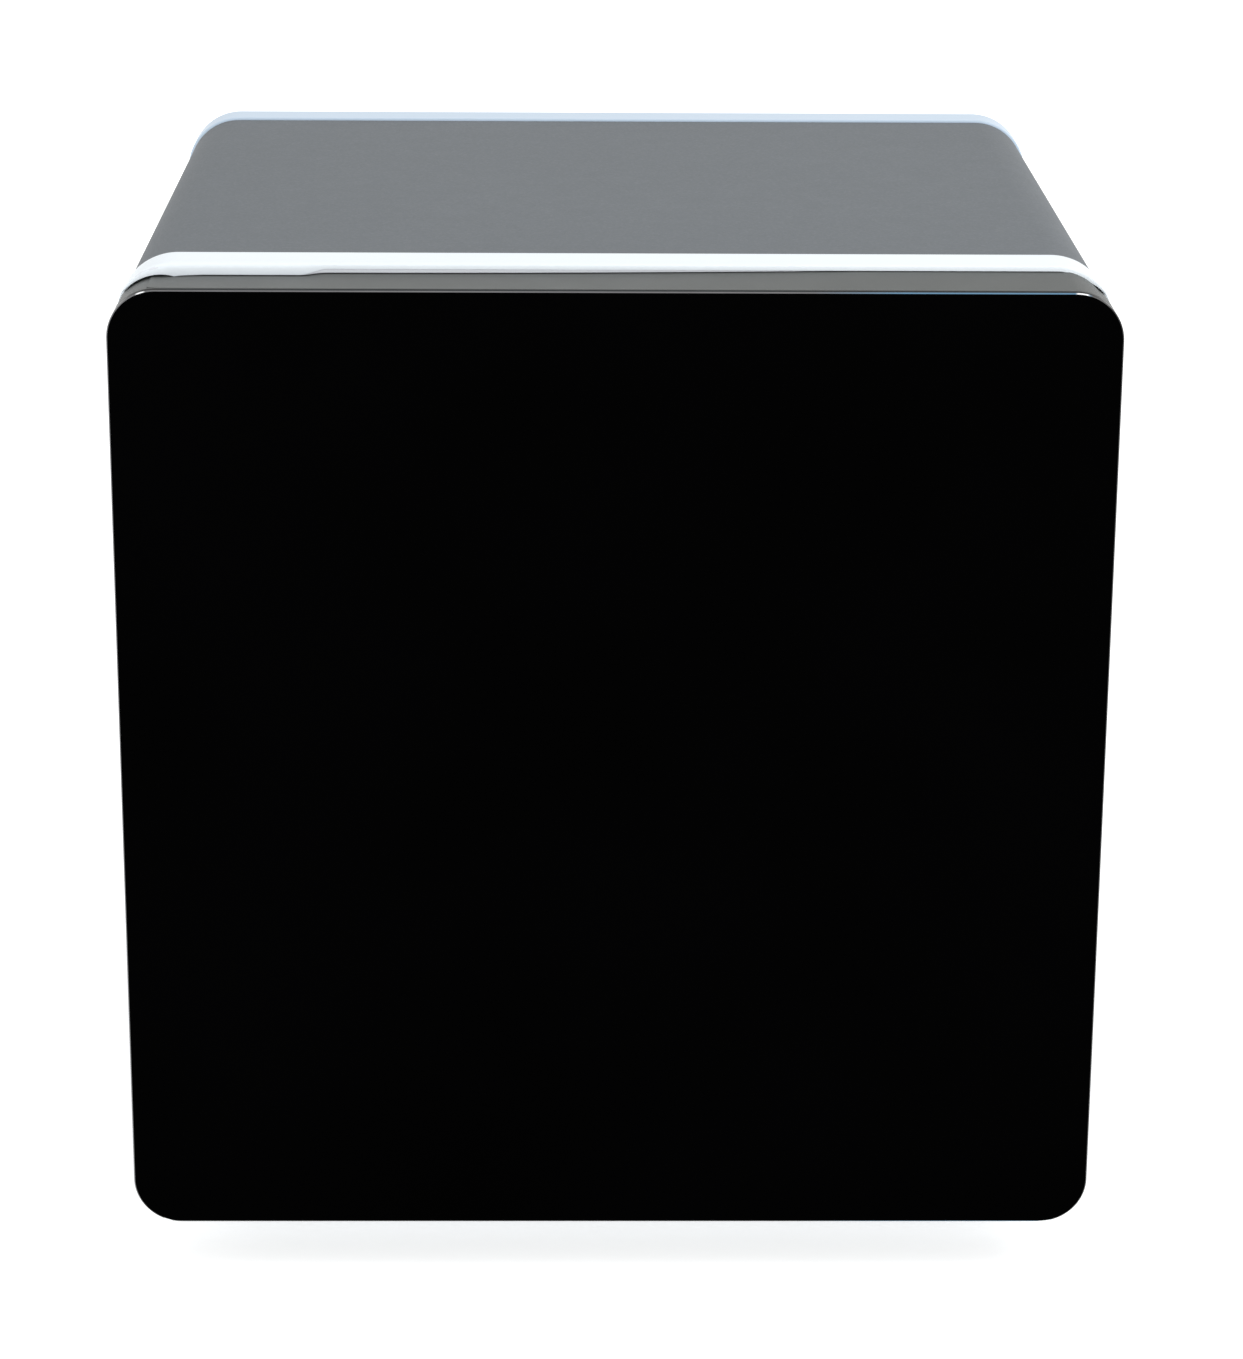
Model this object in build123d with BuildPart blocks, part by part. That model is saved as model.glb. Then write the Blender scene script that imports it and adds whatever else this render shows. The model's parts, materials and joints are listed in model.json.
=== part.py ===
from build123d import *
import os
from math import cos, hypot, radians, sin

# A counter-top cube fridge, in millimetres. It stands on z = 0, its door faces -Y, and the
# vertical line through the middle of its footprint is the Z axis.

# ---------------------------------------------------------------- driving dimensions
WIDTH = 440.0                # over the white rings
DEPTH = 418.0                # door glass to rear ring
HEIGHT = 470.0               # floor to the top of the rings
FOOT_HEIGHT = 20.0           # floor to the underside of the rings
RING_RADIUS = 27.0

DOOR_WIDTH = 441.0
DOOR_HEIGHT = 440.0
DOOR_RADIUS = 21.5
DOOR_TOP_STEP = 6.5          # the door's top edge sits this far below the ring's top
DOOR_THICKNESS = 34.0
SEAL_GAP = 4.0               # door rim to the cabinet face

CAVITY_SIZE = 366.0          # width and height inside the liner
CAVITY_RADIUS = 16.0
CAVITY_DEPTH = 249.0
REAR_FOAM = 38.0             # insulation behind the cavity

# ---------------------------------------------------------------- places worked out from them
FRONT = -DEPTH / 2
BACK = DEPTH / 2
RING_HEIGHT = HEIGHT - FOOT_HEIGHT
BODY_Z = FOOT_HEIGHT + RING_HEIGHT / 2
DOOR_TOP = HEIGHT - DOOR_TOP_STEP
DOOR_Z = DOOR_TOP - DOOR_HEIGHT / 2

GLASS_BACK = FRONT + 4.0
BOND_BACK = GLASS_BACK + 1.0
RIM_BACK = FRONT + DOOR_THICKNESS
CABINET_FACE = RIM_BACK + SEAL_GAP
FRONT_RING_BACK = CABINET_FACE + 13.0
VISOR_FRONT = FRONT + 26.0
REAR_RING_FRONT = BACK - 22.0
LINER_BACK = CABINET_FACE + CAVITY_DEPTH
FOAM_BACK = LINER_BACK + 2.0 + REAR_FOAM

RIM_WALL = 3.0
RIM_FLOOR = 2.0
SHEET = 1.5                  # formed plastic sheet of the door liner
SEAT = RIM_BACK - 5.0        # where the gasket sits on the door liner
HINGE_X = -WIDTH / 2 + 9.0
HINGE_Y = FRONT + 20.0
HINGE_ARM_OFFSET = 210.0     # from the door's middle to the outer face of each hinge arm
HINGE_ARM = 2.5
PIN_RADIUS = 2.5
RUNNING_GAP = 0.05
CLEARANCE = 0.2

WRAPPER_INSET = 1.2          # step from the rings down to the wrapper
WRAPPER_SHEET = 1.0
LINER_WALL = 2.0
GASKET_OUTER = 408.0
GASKET_INNER = 382.0

COOLER_Z = BODY_Z + 112.0    # height of the cold and hot sinks
SHELF_LEVELS = {"lower": BODY_Z - 68.0, "upper": BODY_Z + 30.0}
SHELF_FRONT = CABINET_FACE + 66.0
SHELF_BACK = LINER_BACK - 6.0
SHELF_GLASS = 4.0


# ---------------------------------------------------------------- shared shapes
def upright(y, z=BODY_Z):
    """Sketch plane at depth y that faces the front; extruding from it goes forward."""
    return Plane(origin=(0, y, z), x_dir=(1, 0, 0), z_dir=(0, -1, 0))


def rearward(y, z=BODY_Z):
    """Plane at depth y that faces the rear; its second axis points down."""
    return Plane(origin=(0, y, z), x_dir=(1, 0, 0), z_dir=(0, 1, 0))


def level(z):
    """Sketch plane at height z, with the sketch's axes along X and Y."""
    return Plane.XY.offset(z)


def rounded_square(size, radius, mode=Mode.ADD):
    return RectangleRounded(size, size, radius, mode=mode)


def body_outline(inset=0.0, mode=Mode.ADD):
    """The rings' outline, or one this far inside it, about the same corner centres."""
    RectangleRounded(WIDTH - 2 * inset, RING_HEIGHT - 2 * inset, RING_RADIUS - inset, mode=mode)


def square_ring(outer, inner, radius, inner_radius=None):
    """Outline of a square frame; unless told, its inner corners keep the outer ones' centres."""
    rounded_square(outer, radius)
    concentric = max(radius - (outer - inner) / 2, 2.0)
    rounded_square(inner, inner_radius or concentric, mode=Mode.SUBTRACT)


def save(builder, name):
    builder.part.label = name
    export_step(builder.part, f"parts/{name}.step")


os.makedirs("parts", exist_ok=True)

# ================================================================ DOOR
GLASS_BEVEL = 0.8
BOND_INSET = 1.4

with BuildPart() as door_glass:
    with BuildSketch(upright(GLASS_BACK, DOOR_Z)):
        RectangleRounded(DOOR_WIDTH, DOOR_HEIGHT, DOOR_RADIUS)
    extrude(amount=GLASS_BACK - FRONT)
    chamfer(door_glass.faces().sort_by(Axis.Y)[0].edges(), GLASS_BEVEL)
    chamfer(door_glass.faces().sort_by(Axis.Y)[-1].edges(), GLASS_BEVEL / 4)
save(door_glass, "door_glass")

with BuildPart() as glass_bond:
    with BuildSketch(upright(BOND_BACK, DOOR_Z)):
        RectangleRounded(DOOR_WIDTH - 2 * BOND_INSET, DOOR_HEIGHT - 2 * BOND_INSET, DOOR_RADIUS - BOND_INSET)
    extrude(amount=BOND_BACK - GLASS_BACK)
save(glass_bond, "glass_bond")

# Solid blocks inside the rim: two in the hinge corners, one behind the finger scoop.
BLOCK_EDGE = GASKET_OUTER / 2 + 0.5      # the blocks end just outside the gasket
HINGE_BLOCK_HEIGHT = 44.0
GRIP_LENGTH = 120.0
GRIP_DEPTH = 13.0
GRIP_FROM_REAR = 17.0
GRIP_RADIUS = 8.0
GRIP_WALL = 12.0
SIDE_BLOCK_WIDTH = 30.0


def door_inside(shrink=0.0):
    """Outline of the room inside the rim, less the hinge and grip blocks."""
    room = 2 * (RIM_WALL + shrink)
    RectangleRounded(DOOR_WIDTH - room, DOOR_HEIGHT - room, DOOR_RADIUS - RIM_WALL - shrink)
    block_x = BLOCK_EDGE - shrink + SIDE_BLOCK_WIDTH / 2
    hinge_height = 2 * (HINGE_BLOCK_HEIGHT + shrink)
    with Locations((-block_x, DOOR_HEIGHT / 2), (-block_x, -DOOR_HEIGHT / 2)):
        Rectangle(SIDE_BLOCK_WIDTH, hinge_height, mode=Mode.SUBTRACT)
    with Locations((block_x, 0)):
        Rectangle(SIDE_BLOCK_WIDTH, GRIP_LENGTH + 2 * (GRIP_WALL + shrink), mode=Mode.SUBTRACT)


HINGE_CORNER_SWEEP = 16.0    # the rear hinge-side corner is turned to this radius about the pin
ROOMY = 40.0                 # side of a cutting square that only has to be large enough
ARM_POCKET_GAP = 1.0
ARM_POCKET_FRONT = 12.0      # the pocket starts this far in front of the pin
BUSH_RADIUS = 4.0
BUSH_LENGTH = 12.0
ARM_REACH = 5.0              # rounded end of the hinge arm round the pin
RIM_EDGE = 0.9

with BuildPart() as door_rim:
    with BuildSketch(upright(RIM_BACK, DOOR_Z)):
        RectangleRounded(DOOR_WIDTH, DOOR_HEIGHT, DOOR_RADIUS)
    extrude(amount=RIM_BACK - BOND_BACK)
    fillet(door_rim.faces().sort_by(Axis.Y)[0].edges(), RIM_EDGE)
    fillet(door_rim.faces().sort_by(Axis.Y)[-1].edges(), RIM_EDGE)
    with BuildSketch(upright(RIM_BACK, DOOR_Z)):
        door_inside()
    extrude(amount=RIM_BACK - BOND_BACK - RIM_FLOOR, mode=Mode.SUBTRACT)
    # rear corner beside the hinge, cut back to a cylinder about the pin
    with BuildSketch(level(DOOR_Z - DOOR_HEIGHT / 2)):
        with Locations((HINGE_X, HINGE_Y)):
            Rectangle(ROOMY / 2, ROOMY / 2, align=(Align.MAX, Align.MIN))
            Circle(HINGE_CORNER_SWEEP, mode=Mode.SUBTRACT)
    extrude(amount=DOOR_HEIGHT, mode=Mode.SUBTRACT)
    # pockets for the hinge arms, open to the rear and to the hinge side, and the bush bores
    for side in (1, -1):
        arm_outer = DOOR_Z + side * (HINGE_ARM_OFFSET + ARM_POCKET_GAP)
        with BuildSketch(level(arm_outer)):
            with Locations((HINGE_X + ARM_REACH + ARM_POCKET_GAP, HINGE_Y - ARM_POCKET_FRONT)):
                Rectangle(ROOMY, ROOMY, align=(Align.MAX, Align.MIN))
        extrude(amount=-side * (HINGE_ARM + 2 * ARM_POCKET_GAP), mode=Mode.SUBTRACT)
        with BuildSketch(level(arm_outer)):
            with Locations((HINGE_X, HINGE_Y)):
                Circle(BUSH_RADIUS)
        extrude(amount=-side * (HINGE_ARM + 2 * ARM_POCKET_GAP + BUSH_LENGTH), mode=Mode.SUBTRACT)
    # finger scoop in the opening side, open to the side and to the rear
    with BuildSketch(upright(RIM_BACK, BODY_Z)):
        with Locations((DOOR_WIDTH / 2, 0)):
            RectangleRounded(2 * GRIP_DEPTH, GRIP_LENGTH, GRIP_RADIUS)
    extrude(amount=GRIP_FROM_REAR, mode=Mode.SUBTRACT)
save(door_rim, "door_rim")

# The dyke is the raised square rib of the liner that reaches into the cavity.
DYKE_OUTER = 352.0
DYKE_INNER = 328.0
DYKE_RADIUS = 16.0
DYKE_EDGE = 4.0
DYKE_BACK = SEAT + 30.0
LUG_REACH = 5.0
LUG_DEPTH = 8.0
LUG_HEIGHT = 16.0
RACK_LEVELS = {"lower": BODY_Z - 150.0, "upper": BODY_Z + 22.0}
RACK_HEIGHT = 62.0
LUG_FROM_RACK_FLOOR = 30.0
LUG_Y = SEAT + 15.0

with BuildPart() as door_foam:
    with BuildSketch(upright(SEAT - SHEET, DOOR_Z)):
        door_inside(shrink=CLEARANCE)
    extrude(amount=SEAT - SHEET - BOND_BACK - RIM_FLOOR)
    with BuildSketch(upright(DYKE_BACK - SHEET - CLEARANCE)):
        sheet_and_gap = 2 * SHEET + CLEARANCE
        square_ring(DYKE_OUTER - sheet_and_gap, DYKE_INNER + sheet_and_gap, DYKE_RADIUS - SHEET)
    extrude(amount=DYKE_BACK - SEAT - CLEARANCE)
save(door_foam, "door_foam")

with BuildPart() as door_liner:
    with BuildSketch(upright(SEAT, DOOR_Z)):
        door_inside(shrink=CLEARANCE)
    extrude(amount=SHEET)
    with BuildSketch(upright(DYKE_BACK)):
        square_ring(DYKE_OUTER, DYKE_INNER, DYKE_RADIUS)
    extrude(amount=DYKE_BACK - SEAT)
    fillet(door_liner.faces().sort_by(Axis.Y)[-1].edges(), DYKE_EDGE)
    with BuildSketch(upright(DYKE_BACK - SHEET)):
        square_ring(DYKE_OUTER - 2 * SHEET, DYKE_INNER + 2 * SHEET, DYKE_RADIUS - SHEET)
    extrude(amount=DYKE_BACK - SEAT, mode=Mode.SUBTRACT)
    # lugs on the inner sides of the dyke that carry the racks
    for rack_floor in RACK_LEVELS.values():
        with BuildSketch(level(rack_floor + LUG_FROM_RACK_FLOOR)):
            with Locations(((DYKE_INNER - LUG_REACH) / 2, LUG_Y), ((LUG_REACH - DYKE_INNER) / 2, LUG_Y)):
                Rectangle(LUG_REACH + 0.5, LUG_DEPTH)
        extrude(amount=LUG_HEIGHT)
save(door_liner, "door_liner")

GASKET_HEIGHT = CABINET_FACE - SEAT - CLEARANCE
MAGNET_WIDTH = 8.0
MAGNET_HEIGHT = 3.0
MAGNET_LIP = 1.2
GASKET_RADIUS = 14.0
GASKET_GROOVE = 5.0          # how deep the bellows groove cuts in from each side

with BuildPart() as gasket:
    with BuildSketch(upright(SEAT + GASKET_HEIGHT)):
        square_ring(GASKET_OUTER, GASKET_INNER, GASKET_RADIUS)
    extrude(amount=GASKET_HEIGHT)
    fillet(gasket.faces().sort_by(Axis.Y)[-1].edges(), 1.0)
    # bellows groove round both sides
    with BuildSketch(upright(SEAT + 4.2)):
        square_ring(GASKET_OUTER + 2 * GASKET_GROOVE, GASKET_OUTER - GASKET_GROOVE, GASKET_RADIUS)
        square_ring(GASKET_INNER + GASKET_GROOVE, GASKET_INNER - 2 * GASKET_GROOVE, GASKET_GROOVE)
    extrude(amount=2.0, mode=Mode.SUBTRACT)
    # channel that holds the magnets, open towards the door
    with BuildSketch(upright(SEAT + GASKET_HEIGHT - MAGNET_LIP)):
        mean = (GASKET_OUTER + GASKET_INNER) / 2
        square_ring(mean + MAGNET_WIDTH / 2 + 2, mean - MAGNET_WIDTH / 2 - 2, 9.0)
    extrude(amount=GASKET_HEIGHT - MAGNET_LIP, mode=Mode.SUBTRACT)
save(gasket, "gasket")

with BuildPart() as gasket_magnets:
    magnet_line = (GASKET_OUTER + GASKET_INNER) / 4
    with BuildSketch(upright(SEAT + GASKET_HEIGHT - MAGNET_LIP - CLEARANCE)):
        for turn in range(4):
            angle = 90 * turn
            with Locations((magnet_line * cos(radians(angle)), magnet_line * sin(radians(angle)))):
                Rectangle(MAGNET_WIDTH / 2, GASKET_INNER - 20, rotation=angle)
    extrude(amount=MAGNET_HEIGHT)
save(gasket_magnets, "gasket_magnets")

RACK_WIDTH = DYKE_INNER - 2 * LUG_REACH - 4.0
RACK_DEPTH = 58.0
RACK_WALL = 2.2
RACK_RADIUS = 9.0
RACK_MIDDLE_HEIGHT = 40.0    # height of the food-side wall between its shoulders
RACK_FRONT = SEAT + 0.6
HOOK_WALL = 2.0


def door_rack(floor_z):
    """Open bin that hangs on two liner lugs by hooks at its ends."""
    with BuildPart() as rack:
        with BuildSketch(level(floor_z)):
            with Locations((0, RACK_FRONT + RACK_DEPTH / 2)):
                RectangleRounded(RACK_WIDTH, RACK_DEPTH, RACK_RADIUS)
        extrude(amount=RACK_HEIGHT)
        # the wall towards the food compartment is lower in the middle
        with BuildSketch(Plane.XZ.offset(-(RACK_FRONT + RACK_DEPTH + 1))):
            with BuildLine():
                low = floor_z + RACK_MIDDLE_HEIGHT
                high = floor_z + RACK_HEIGHT + 1
                Polyline((-118, high), (-104, low), (104, low), (118, high), close=True)
            make_face()
        extrude(amount=12.0, mode=Mode.SUBTRACT)
        with BuildSketch(level(floor_z + RACK_WALL)):
            with Locations((0, RACK_FRONT + RACK_DEPTH / 2)):
                inside_width = RACK_WIDTH - 2 * RACK_WALL
                inside_depth = RACK_DEPTH - 2 * RACK_WALL
                RectangleRounded(inside_width, inside_depth, RACK_RADIUS - RACK_WALL)
        extrude(amount=RACK_HEIGHT, mode=Mode.SUBTRACT)
        # end hooks: a channel, closed on top, that drops over the lug
        hook_length = LUG_DEPTH + 2 * (HOOK_WALL + 0.5)
        hook_top = floor_z + LUG_FROM_RACK_FLOOR + LUG_HEIGHT + HOOK_WALL
        for side in (1, -1):
            hook_x = side * (RACK_WIDTH / 2 - 0.5)
            outward = (Align.MIN if side > 0 else Align.MAX, Align.CENTER)
            with BuildSketch(level(hook_top)):
                with Locations((hook_x, LUG_Y)):
                    Rectangle(LUG_REACH + 1.0, hook_length, align=outward)
            extrude(amount=-(LUG_HEIGHT + HOOK_WALL))
            with BuildSketch(level(hook_top - HOOK_WALL)):
                with Locations((side * RACK_WIDTH / 2, LUG_Y)):
                    Rectangle(ROOMY, LUG_DEPTH + 1.0, align=outward)
            extrude(amount=-LUG_HEIGHT - 2, mode=Mode.SUBTRACT)
    return rack


for rack_name, rack_floor in RACK_LEVELS.items():
    save(door_rack(rack_floor), f"{rack_name}_rack")

BUSH_FLANGE_RADIUS = 5.5
BUSH_FLANGE = 0.7

with BuildPart() as hinge_bushes:
    for side in (1, -1):
        pocket_inner = DOOR_Z + side * (HINGE_ARM_OFFSET - HINGE_ARM - ARM_POCKET_GAP)
        with BuildSketch(level(pocket_inner)):
            with Locations((HINGE_X, HINGE_Y)):
                Circle(BUSH_RADIUS - RUNNING_GAP)
                Circle(PIN_RADIUS + RUNNING_GAP, mode=Mode.SUBTRACT)
        extrude(amount=-side * (BUSH_LENGTH - 0.5))
        with BuildSketch(level(pocket_inner)):
            with Locations((HINGE_X, HINGE_Y)):
                Circle(BUSH_FLANGE_RADIUS)
                Circle(PIN_RADIUS + RUNNING_GAP, mode=Mode.SUBTRACT)
        extrude(amount=side * BUSH_FLANGE)
save(hinge_bushes, "hinge_bushes")

# ================================================================ HINGES
HINGE_PLATE = 2.0
HINGE_PLATE_LEFT = -WIDTH / 2 + 3.0
HINGE_PLATE_RIGHT = -WIDTH / 2 + 15.0
HINGE_PLATE_X = (HINGE_PLATE_LEFT + HINGE_PLATE_RIGHT) / 2
HINGE_PLATE_WIDTH = HINGE_PLATE_RIGHT - HINGE_PLATE_LEFT
HINGE_PLATE_HEIGHT = 34.0
SCREW_RADIUS = 2.0
SCREW_HEAD = 3.6
HINGE_SCREW_DROPS = (12.0, 27.0)
PIN_LENGTH = 10.5


def hinge_bracket(side):
    """Arm round the pin, folded into a plate on the cabinet face; side is +1 at the top."""
    arm_outer = DOOR_Z + side * HINGE_ARM_OFFSET
    with BuildPart() as bracket:
        with BuildSketch(level(arm_outer)):
            with Locations((HINGE_X, HINGE_Y)):
                Circle(ARM_REACH)
                arm_length = CABINET_FACE + HINGE_PLATE - HINGE_Y
                Rectangle(2 * ARM_REACH, arm_length, align=(Align.CENTER, Align.MIN))
                Circle(PIN_RADIUS, mode=Mode.SUBTRACT)
        extrude(amount=-side * HINGE_ARM)
        with BuildSketch(upright(CABINET_FACE + HINGE_PLATE, arm_outer)):
            with Locations((HINGE_PLATE_X, -side * HINGE_PLATE_HEIGHT / 2)):
                Rectangle(HINGE_PLATE_WIDTH, HINGE_PLATE_HEIGHT)
        extrude(amount=HINGE_PLATE)
        with Locations(upright(CABINET_FACE, arm_outer)):
            with Locations(*[(HINGE_PLATE_X, -side * drop) for drop in HINGE_SCREW_DROPS]):
                CounterSinkHole(SCREW_RADIUS + CLEARANCE, SCREW_HEAD, HINGE_PLATE, counter_sink_angle=90)
    return bracket


save(hinge_bracket(1), "upper_hinge_bracket")
save(hinge_bracket(-1), "lower_hinge_bracket")

with BuildPart() as hinge_pins:
    for side in (1, -1):
        with BuildSketch(level(DOOR_Z + side * HINGE_ARM_OFFSET)):
            with Locations((HINGE_X, HINGE_Y)):
                Circle(PIN_RADIUS)
        extrude(amount=-side * (HINGE_ARM + PIN_LENGTH))
save(hinge_pins, "hinge_pins")


# where a cylinder stands on its plane
BEHIND = (Align.CENTER, Align.CENTER, Align.MAX)
AHEAD = (Align.CENTER, Align.CENTER, Align.MIN)


def countersunk_screws(plane, places, length, radius=SCREW_RADIUS, head=SCREW_HEAD):
    """Screws with their flat heads in the given plane and their tips behind it."""
    with Locations(plane):
        with Locations(*places):
            Cone(radius, head, head - radius, align=BEHIND)
            Cylinder(radius, length, align=BEHIND)


def pan_screws(plane, places, length, radius=SCREW_RADIUS, head=SCREW_HEAD, head_height=1.8):
    """Screws with their pan heads standing on the given plane and their tips behind it."""
    with Locations(plane):
        with Locations(*places):
            Cylinder(head, head_height, align=AHEAD)
            Cylinder(radius, length, align=BEHIND)


def screw_holes(plane, places, length, radius=SCREW_RADIUS):
    """Holes for those screws, from the plane backwards."""
    with Locations(plane):
        with Locations(*places):
            Cylinder(radius + RUNNING_GAP, length, align=BEHIND, mode=Mode.SUBTRACT)


HINGE_SCREW_LENGTH = 11.0
HINGE_SCREW_PLACES = [
    (HINGE_PLATE_X, side * (HINGE_ARM_OFFSET - drop))
    for side in (1, -1)
    for drop in HINGE_SCREW_DROPS
]

with BuildPart() as hinge_screws:
    countersunk_screws(upright(CABINET_FACE, DOOR_Z), HINGE_SCREW_PLACES, HINGE_SCREW_LENGTH)
save(hinge_screws, "hinge_screws")

# ================================================================ CABINET SHELL
SPIGOT = 8.0                 # each ring reaches this far inside the wrapper
SPIGOT_WALL = 2.0
RING_EDGE = 2.2
LINER_FLANGE = 380.0
LINER_FLANGE_RADIUS = 20.0
FLANGE_GAP = 0.4
RING_INNER_WALL = 3.8
RING_FACE = 3.0
STRIKE_OUTER = 408.0
STRIKE_INNER = 386.0
STRIKE_SHEET = 0.8
STRIKE_RADIUS = 15.0
SPIGOT_INSET = WRAPPER_INSET + WRAPPER_SHEET + CLEARANCE
SPIGOT_INSIDE_INSET = SPIGOT_INSET + SPIGOT_WALL
RING_MOUTH = LINER_FLANGE + FLANGE_GAP
MOUTH_WALL_RADIUS = LINER_FLANGE_RADIUS + RING_INNER_WALL

# The visor runs just above the door's top. To the right of the hinge hood the lower part of its
# face steps back, along an edge that rises in an S and then falls slowly to the right.
VISOR_GAP = 1.0              # door's top edge to the visor
CORNER_WRAP = 34.0           # degrees that the visor follows each corner
HOOD_END = -138.0            # X where the S starts
STEP_START = -126.0          # X where the S ends
STEP_END = 105.0             # X where the step has died away
STEP_HEIGHT = 2.2
STEP_DEPTH = 1.2
VISOR_BOTTOM = DOOR_HEIGHT / 2 + VISOR_GAP


def visor_outline(mode=Mode.ADD):
    """Front outline of the visor: everything above a line that follows the door's top edge."""
    corner_x = DOOR_WIDTH / 2 - DOOR_RADIUS
    corner_z = DOOR_HEIGHT / 2 - DOOR_RADIUS
    near = DOOR_RADIUS + VISOR_GAP
    far = RING_RADIUS * 2
    across = sin(radians(CORNER_WRAP))
    up = cos(radians(CORNER_WRAP))
    low = (corner_x + near * across, corner_z + near * up)
    out = (corner_x + far * across, corner_z + far * up)
    with BuildLine() as outline:
        RadiusArc((-low[0], low[1]), (-corner_x, VISOR_BOTTOM), near)
        Line((-corner_x, VISOR_BOTTOM), (corner_x, VISOR_BOTTOM))
        RadiusArc((corner_x, VISOR_BOTTOM), low, near)
        Polyline(low, out, (out[0], corner_z + far), (-out[0], corner_z + far), (-out[0], out[1]),
                 (-low[0], low[1]))
    make_face(outline.edges(), mode=mode)


def visor_step():
    """Front outline of the low strip that is cut out of the visor's face."""
    high = VISOR_BOTTOM + STEP_HEIGHT
    middle = (STEP_START + STEP_END) / 2
    with BuildLine() as outline:
        Spline((HOOD_END, VISOR_BOTTOM), (STEP_START, high), tangents=((1, 0), (1, 0)))
        Bezier((STEP_START, high), (middle, high), (STEP_END, VISOR_BOTTOM))
        Polyline((STEP_END, VISOR_BOTTOM), (STEP_END, VISOR_BOTTOM - 1), (HOOD_END, VISOR_BOTTOM - 1),
                 (HOOD_END, VISOR_BOTTOM))
    make_face(outline.edges())


def on_outline(edge, y):
    """True for an edge of the rings' outer outline at depth y."""
    middle = edge.position_at(0.5)
    over_x = max(abs(middle.X) - WIDTH / 2 + RING_RADIUS, 0)
    over_z = max(abs(middle.Z - BODY_Z) - RING_HEIGHT / 2 + RING_RADIUS, 0)
    return abs(middle.Y - y) < 0.01 and abs(hypot(over_x, over_z) - RING_RADIUS) < 0.01


with BuildPart() as front_ring:
    with BuildSketch(upright(FRONT_RING_BACK)):
        body_outline()
    extrude(amount=FRONT_RING_BACK - VISOR_FRONT)
    fillet(front_ring.faces().sort_by(Axis.Y)[0].edges(), RING_EDGE)
    # in front of the cabinet face only the visor stays
    with BuildSketch(upright(CABINET_FACE, DOOR_Z)):
        Rectangle(2 * WIDTH, 2 * HEIGHT)
        visor_outline(mode=Mode.SUBTRACT)
    extrude(amount=CABINET_FACE - VISOR_FRONT + 1, mode=Mode.SUBTRACT)
    with BuildSketch(upright(VISOR_FRONT + STEP_DEPTH, DOOR_Z)):
        visor_step()
    extrude(amount=STEP_DEPTH + 1, mode=Mode.SUBTRACT)
    for edge_y in (CABINET_FACE, FRONT_RING_BACK):
        fillet(front_ring.edges().filter_by(lambda edge: on_outline(edge, edge_y)), RING_EDGE / 2)
    # spigot inside the wrapper
    with BuildSketch(upright(FRONT_RING_BACK + SPIGOT)):
        body_outline(SPIGOT_INSET)
    extrude(amount=SPIGOT)
    # mouth of the cavity, then the channel that the insulation fills
    with BuildSketch(upright(FRONT_RING_BACK + SPIGOT)):
        rounded_square(RING_MOUTH, LINER_FLANGE_RADIUS)
    extrude(amount=FRONT_RING_BACK + SPIGOT - CABINET_FACE, mode=Mode.SUBTRACT)
    with BuildSketch(upright(FRONT_RING_BACK + SPIGOT)):
        body_outline(SPIGOT_INSIDE_INSET)
    extrude(amount=SPIGOT, mode=Mode.SUBTRACT)
    with BuildSketch(upright(FRONT_RING_BACK)):
        body_outline(SPIGOT_INSIDE_INSET)
        rounded_square(RING_MOUTH + 2 * RING_INNER_WALL, MOUTH_WALL_RADIUS, mode=Mode.SUBTRACT)
    extrude(amount=FRONT_RING_BACK - CABINET_FACE - RING_FACE, mode=Mode.SUBTRACT)
    # rebates for the strike frame and the hinge plates
    with BuildSketch(upright(CABINET_FACE + STRIKE_SHEET)):
        square_ring(STRIKE_OUTER + CLEARANCE, STRIKE_INNER - CLEARANCE, STRIKE_RADIUS)
    extrude(amount=STRIKE_SHEET, mode=Mode.SUBTRACT)
    for side in (1, -1):
        with BuildSketch(upright(CABINET_FACE + HINGE_PLATE, DOOR_Z + side * HINGE_ARM_OFFSET)):
            with Locations((HINGE_PLATE_X, side * (CLEARANCE - HINGE_PLATE_HEIGHT / 2))):
                Rectangle(HINGE_PLATE_WIDTH + 2 * CLEARANCE, HINGE_PLATE_HEIGHT + 4 * CLEARANCE)
        extrude(amount=HINGE_PLATE, mode=Mode.SUBTRACT)
    screw_holes(upright(CABINET_FACE, DOOR_Z), HINGE_SCREW_PLACES, HINGE_SCREW_LENGTH)
save(front_ring, "front_ring")

with BuildPart() as strike_frame:
    with BuildSketch(upright(CABINET_FACE + STRIKE_SHEET)):
        square_ring(STRIKE_OUTER, STRIKE_INNER, STRIKE_RADIUS)
    extrude(amount=STRIKE_SHEET)
save(strike_frame, "strike_frame")

FOOT_X = 180.0
FRONT_FOOT_Y = -125.0
REAR_FOOT_Y = 150.0
FOOT_HOLE = 5.0

with BuildPart() as outer_wrapper:
    with BuildSketch(upright(REAR_RING_FRONT)):
        body_outline(WRAPPER_INSET)
        body_outline(WRAPPER_INSET + WRAPPER_SHEET, mode=Mode.SUBTRACT)
    extrude(amount=REAR_RING_FRONT - FRONT_RING_BACK)
    with BuildSketch(level(FOOT_HEIGHT)):
        with Locations((-FOOT_X, FRONT_FOOT_Y), (FOOT_X, FRONT_FOOT_Y)):
            Circle(FOOT_HOLE)
        with Locations((-FOOT_X, REAR_FOOT_Y), (FOOT_X, REAR_FOOT_Y)):
            Circle(SCREW_RADIUS + CLEARANCE)
    extrude(amount=10.0, mode=Mode.SUBTRACT)
save(outer_wrapper, "outer_wrapper")

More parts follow.
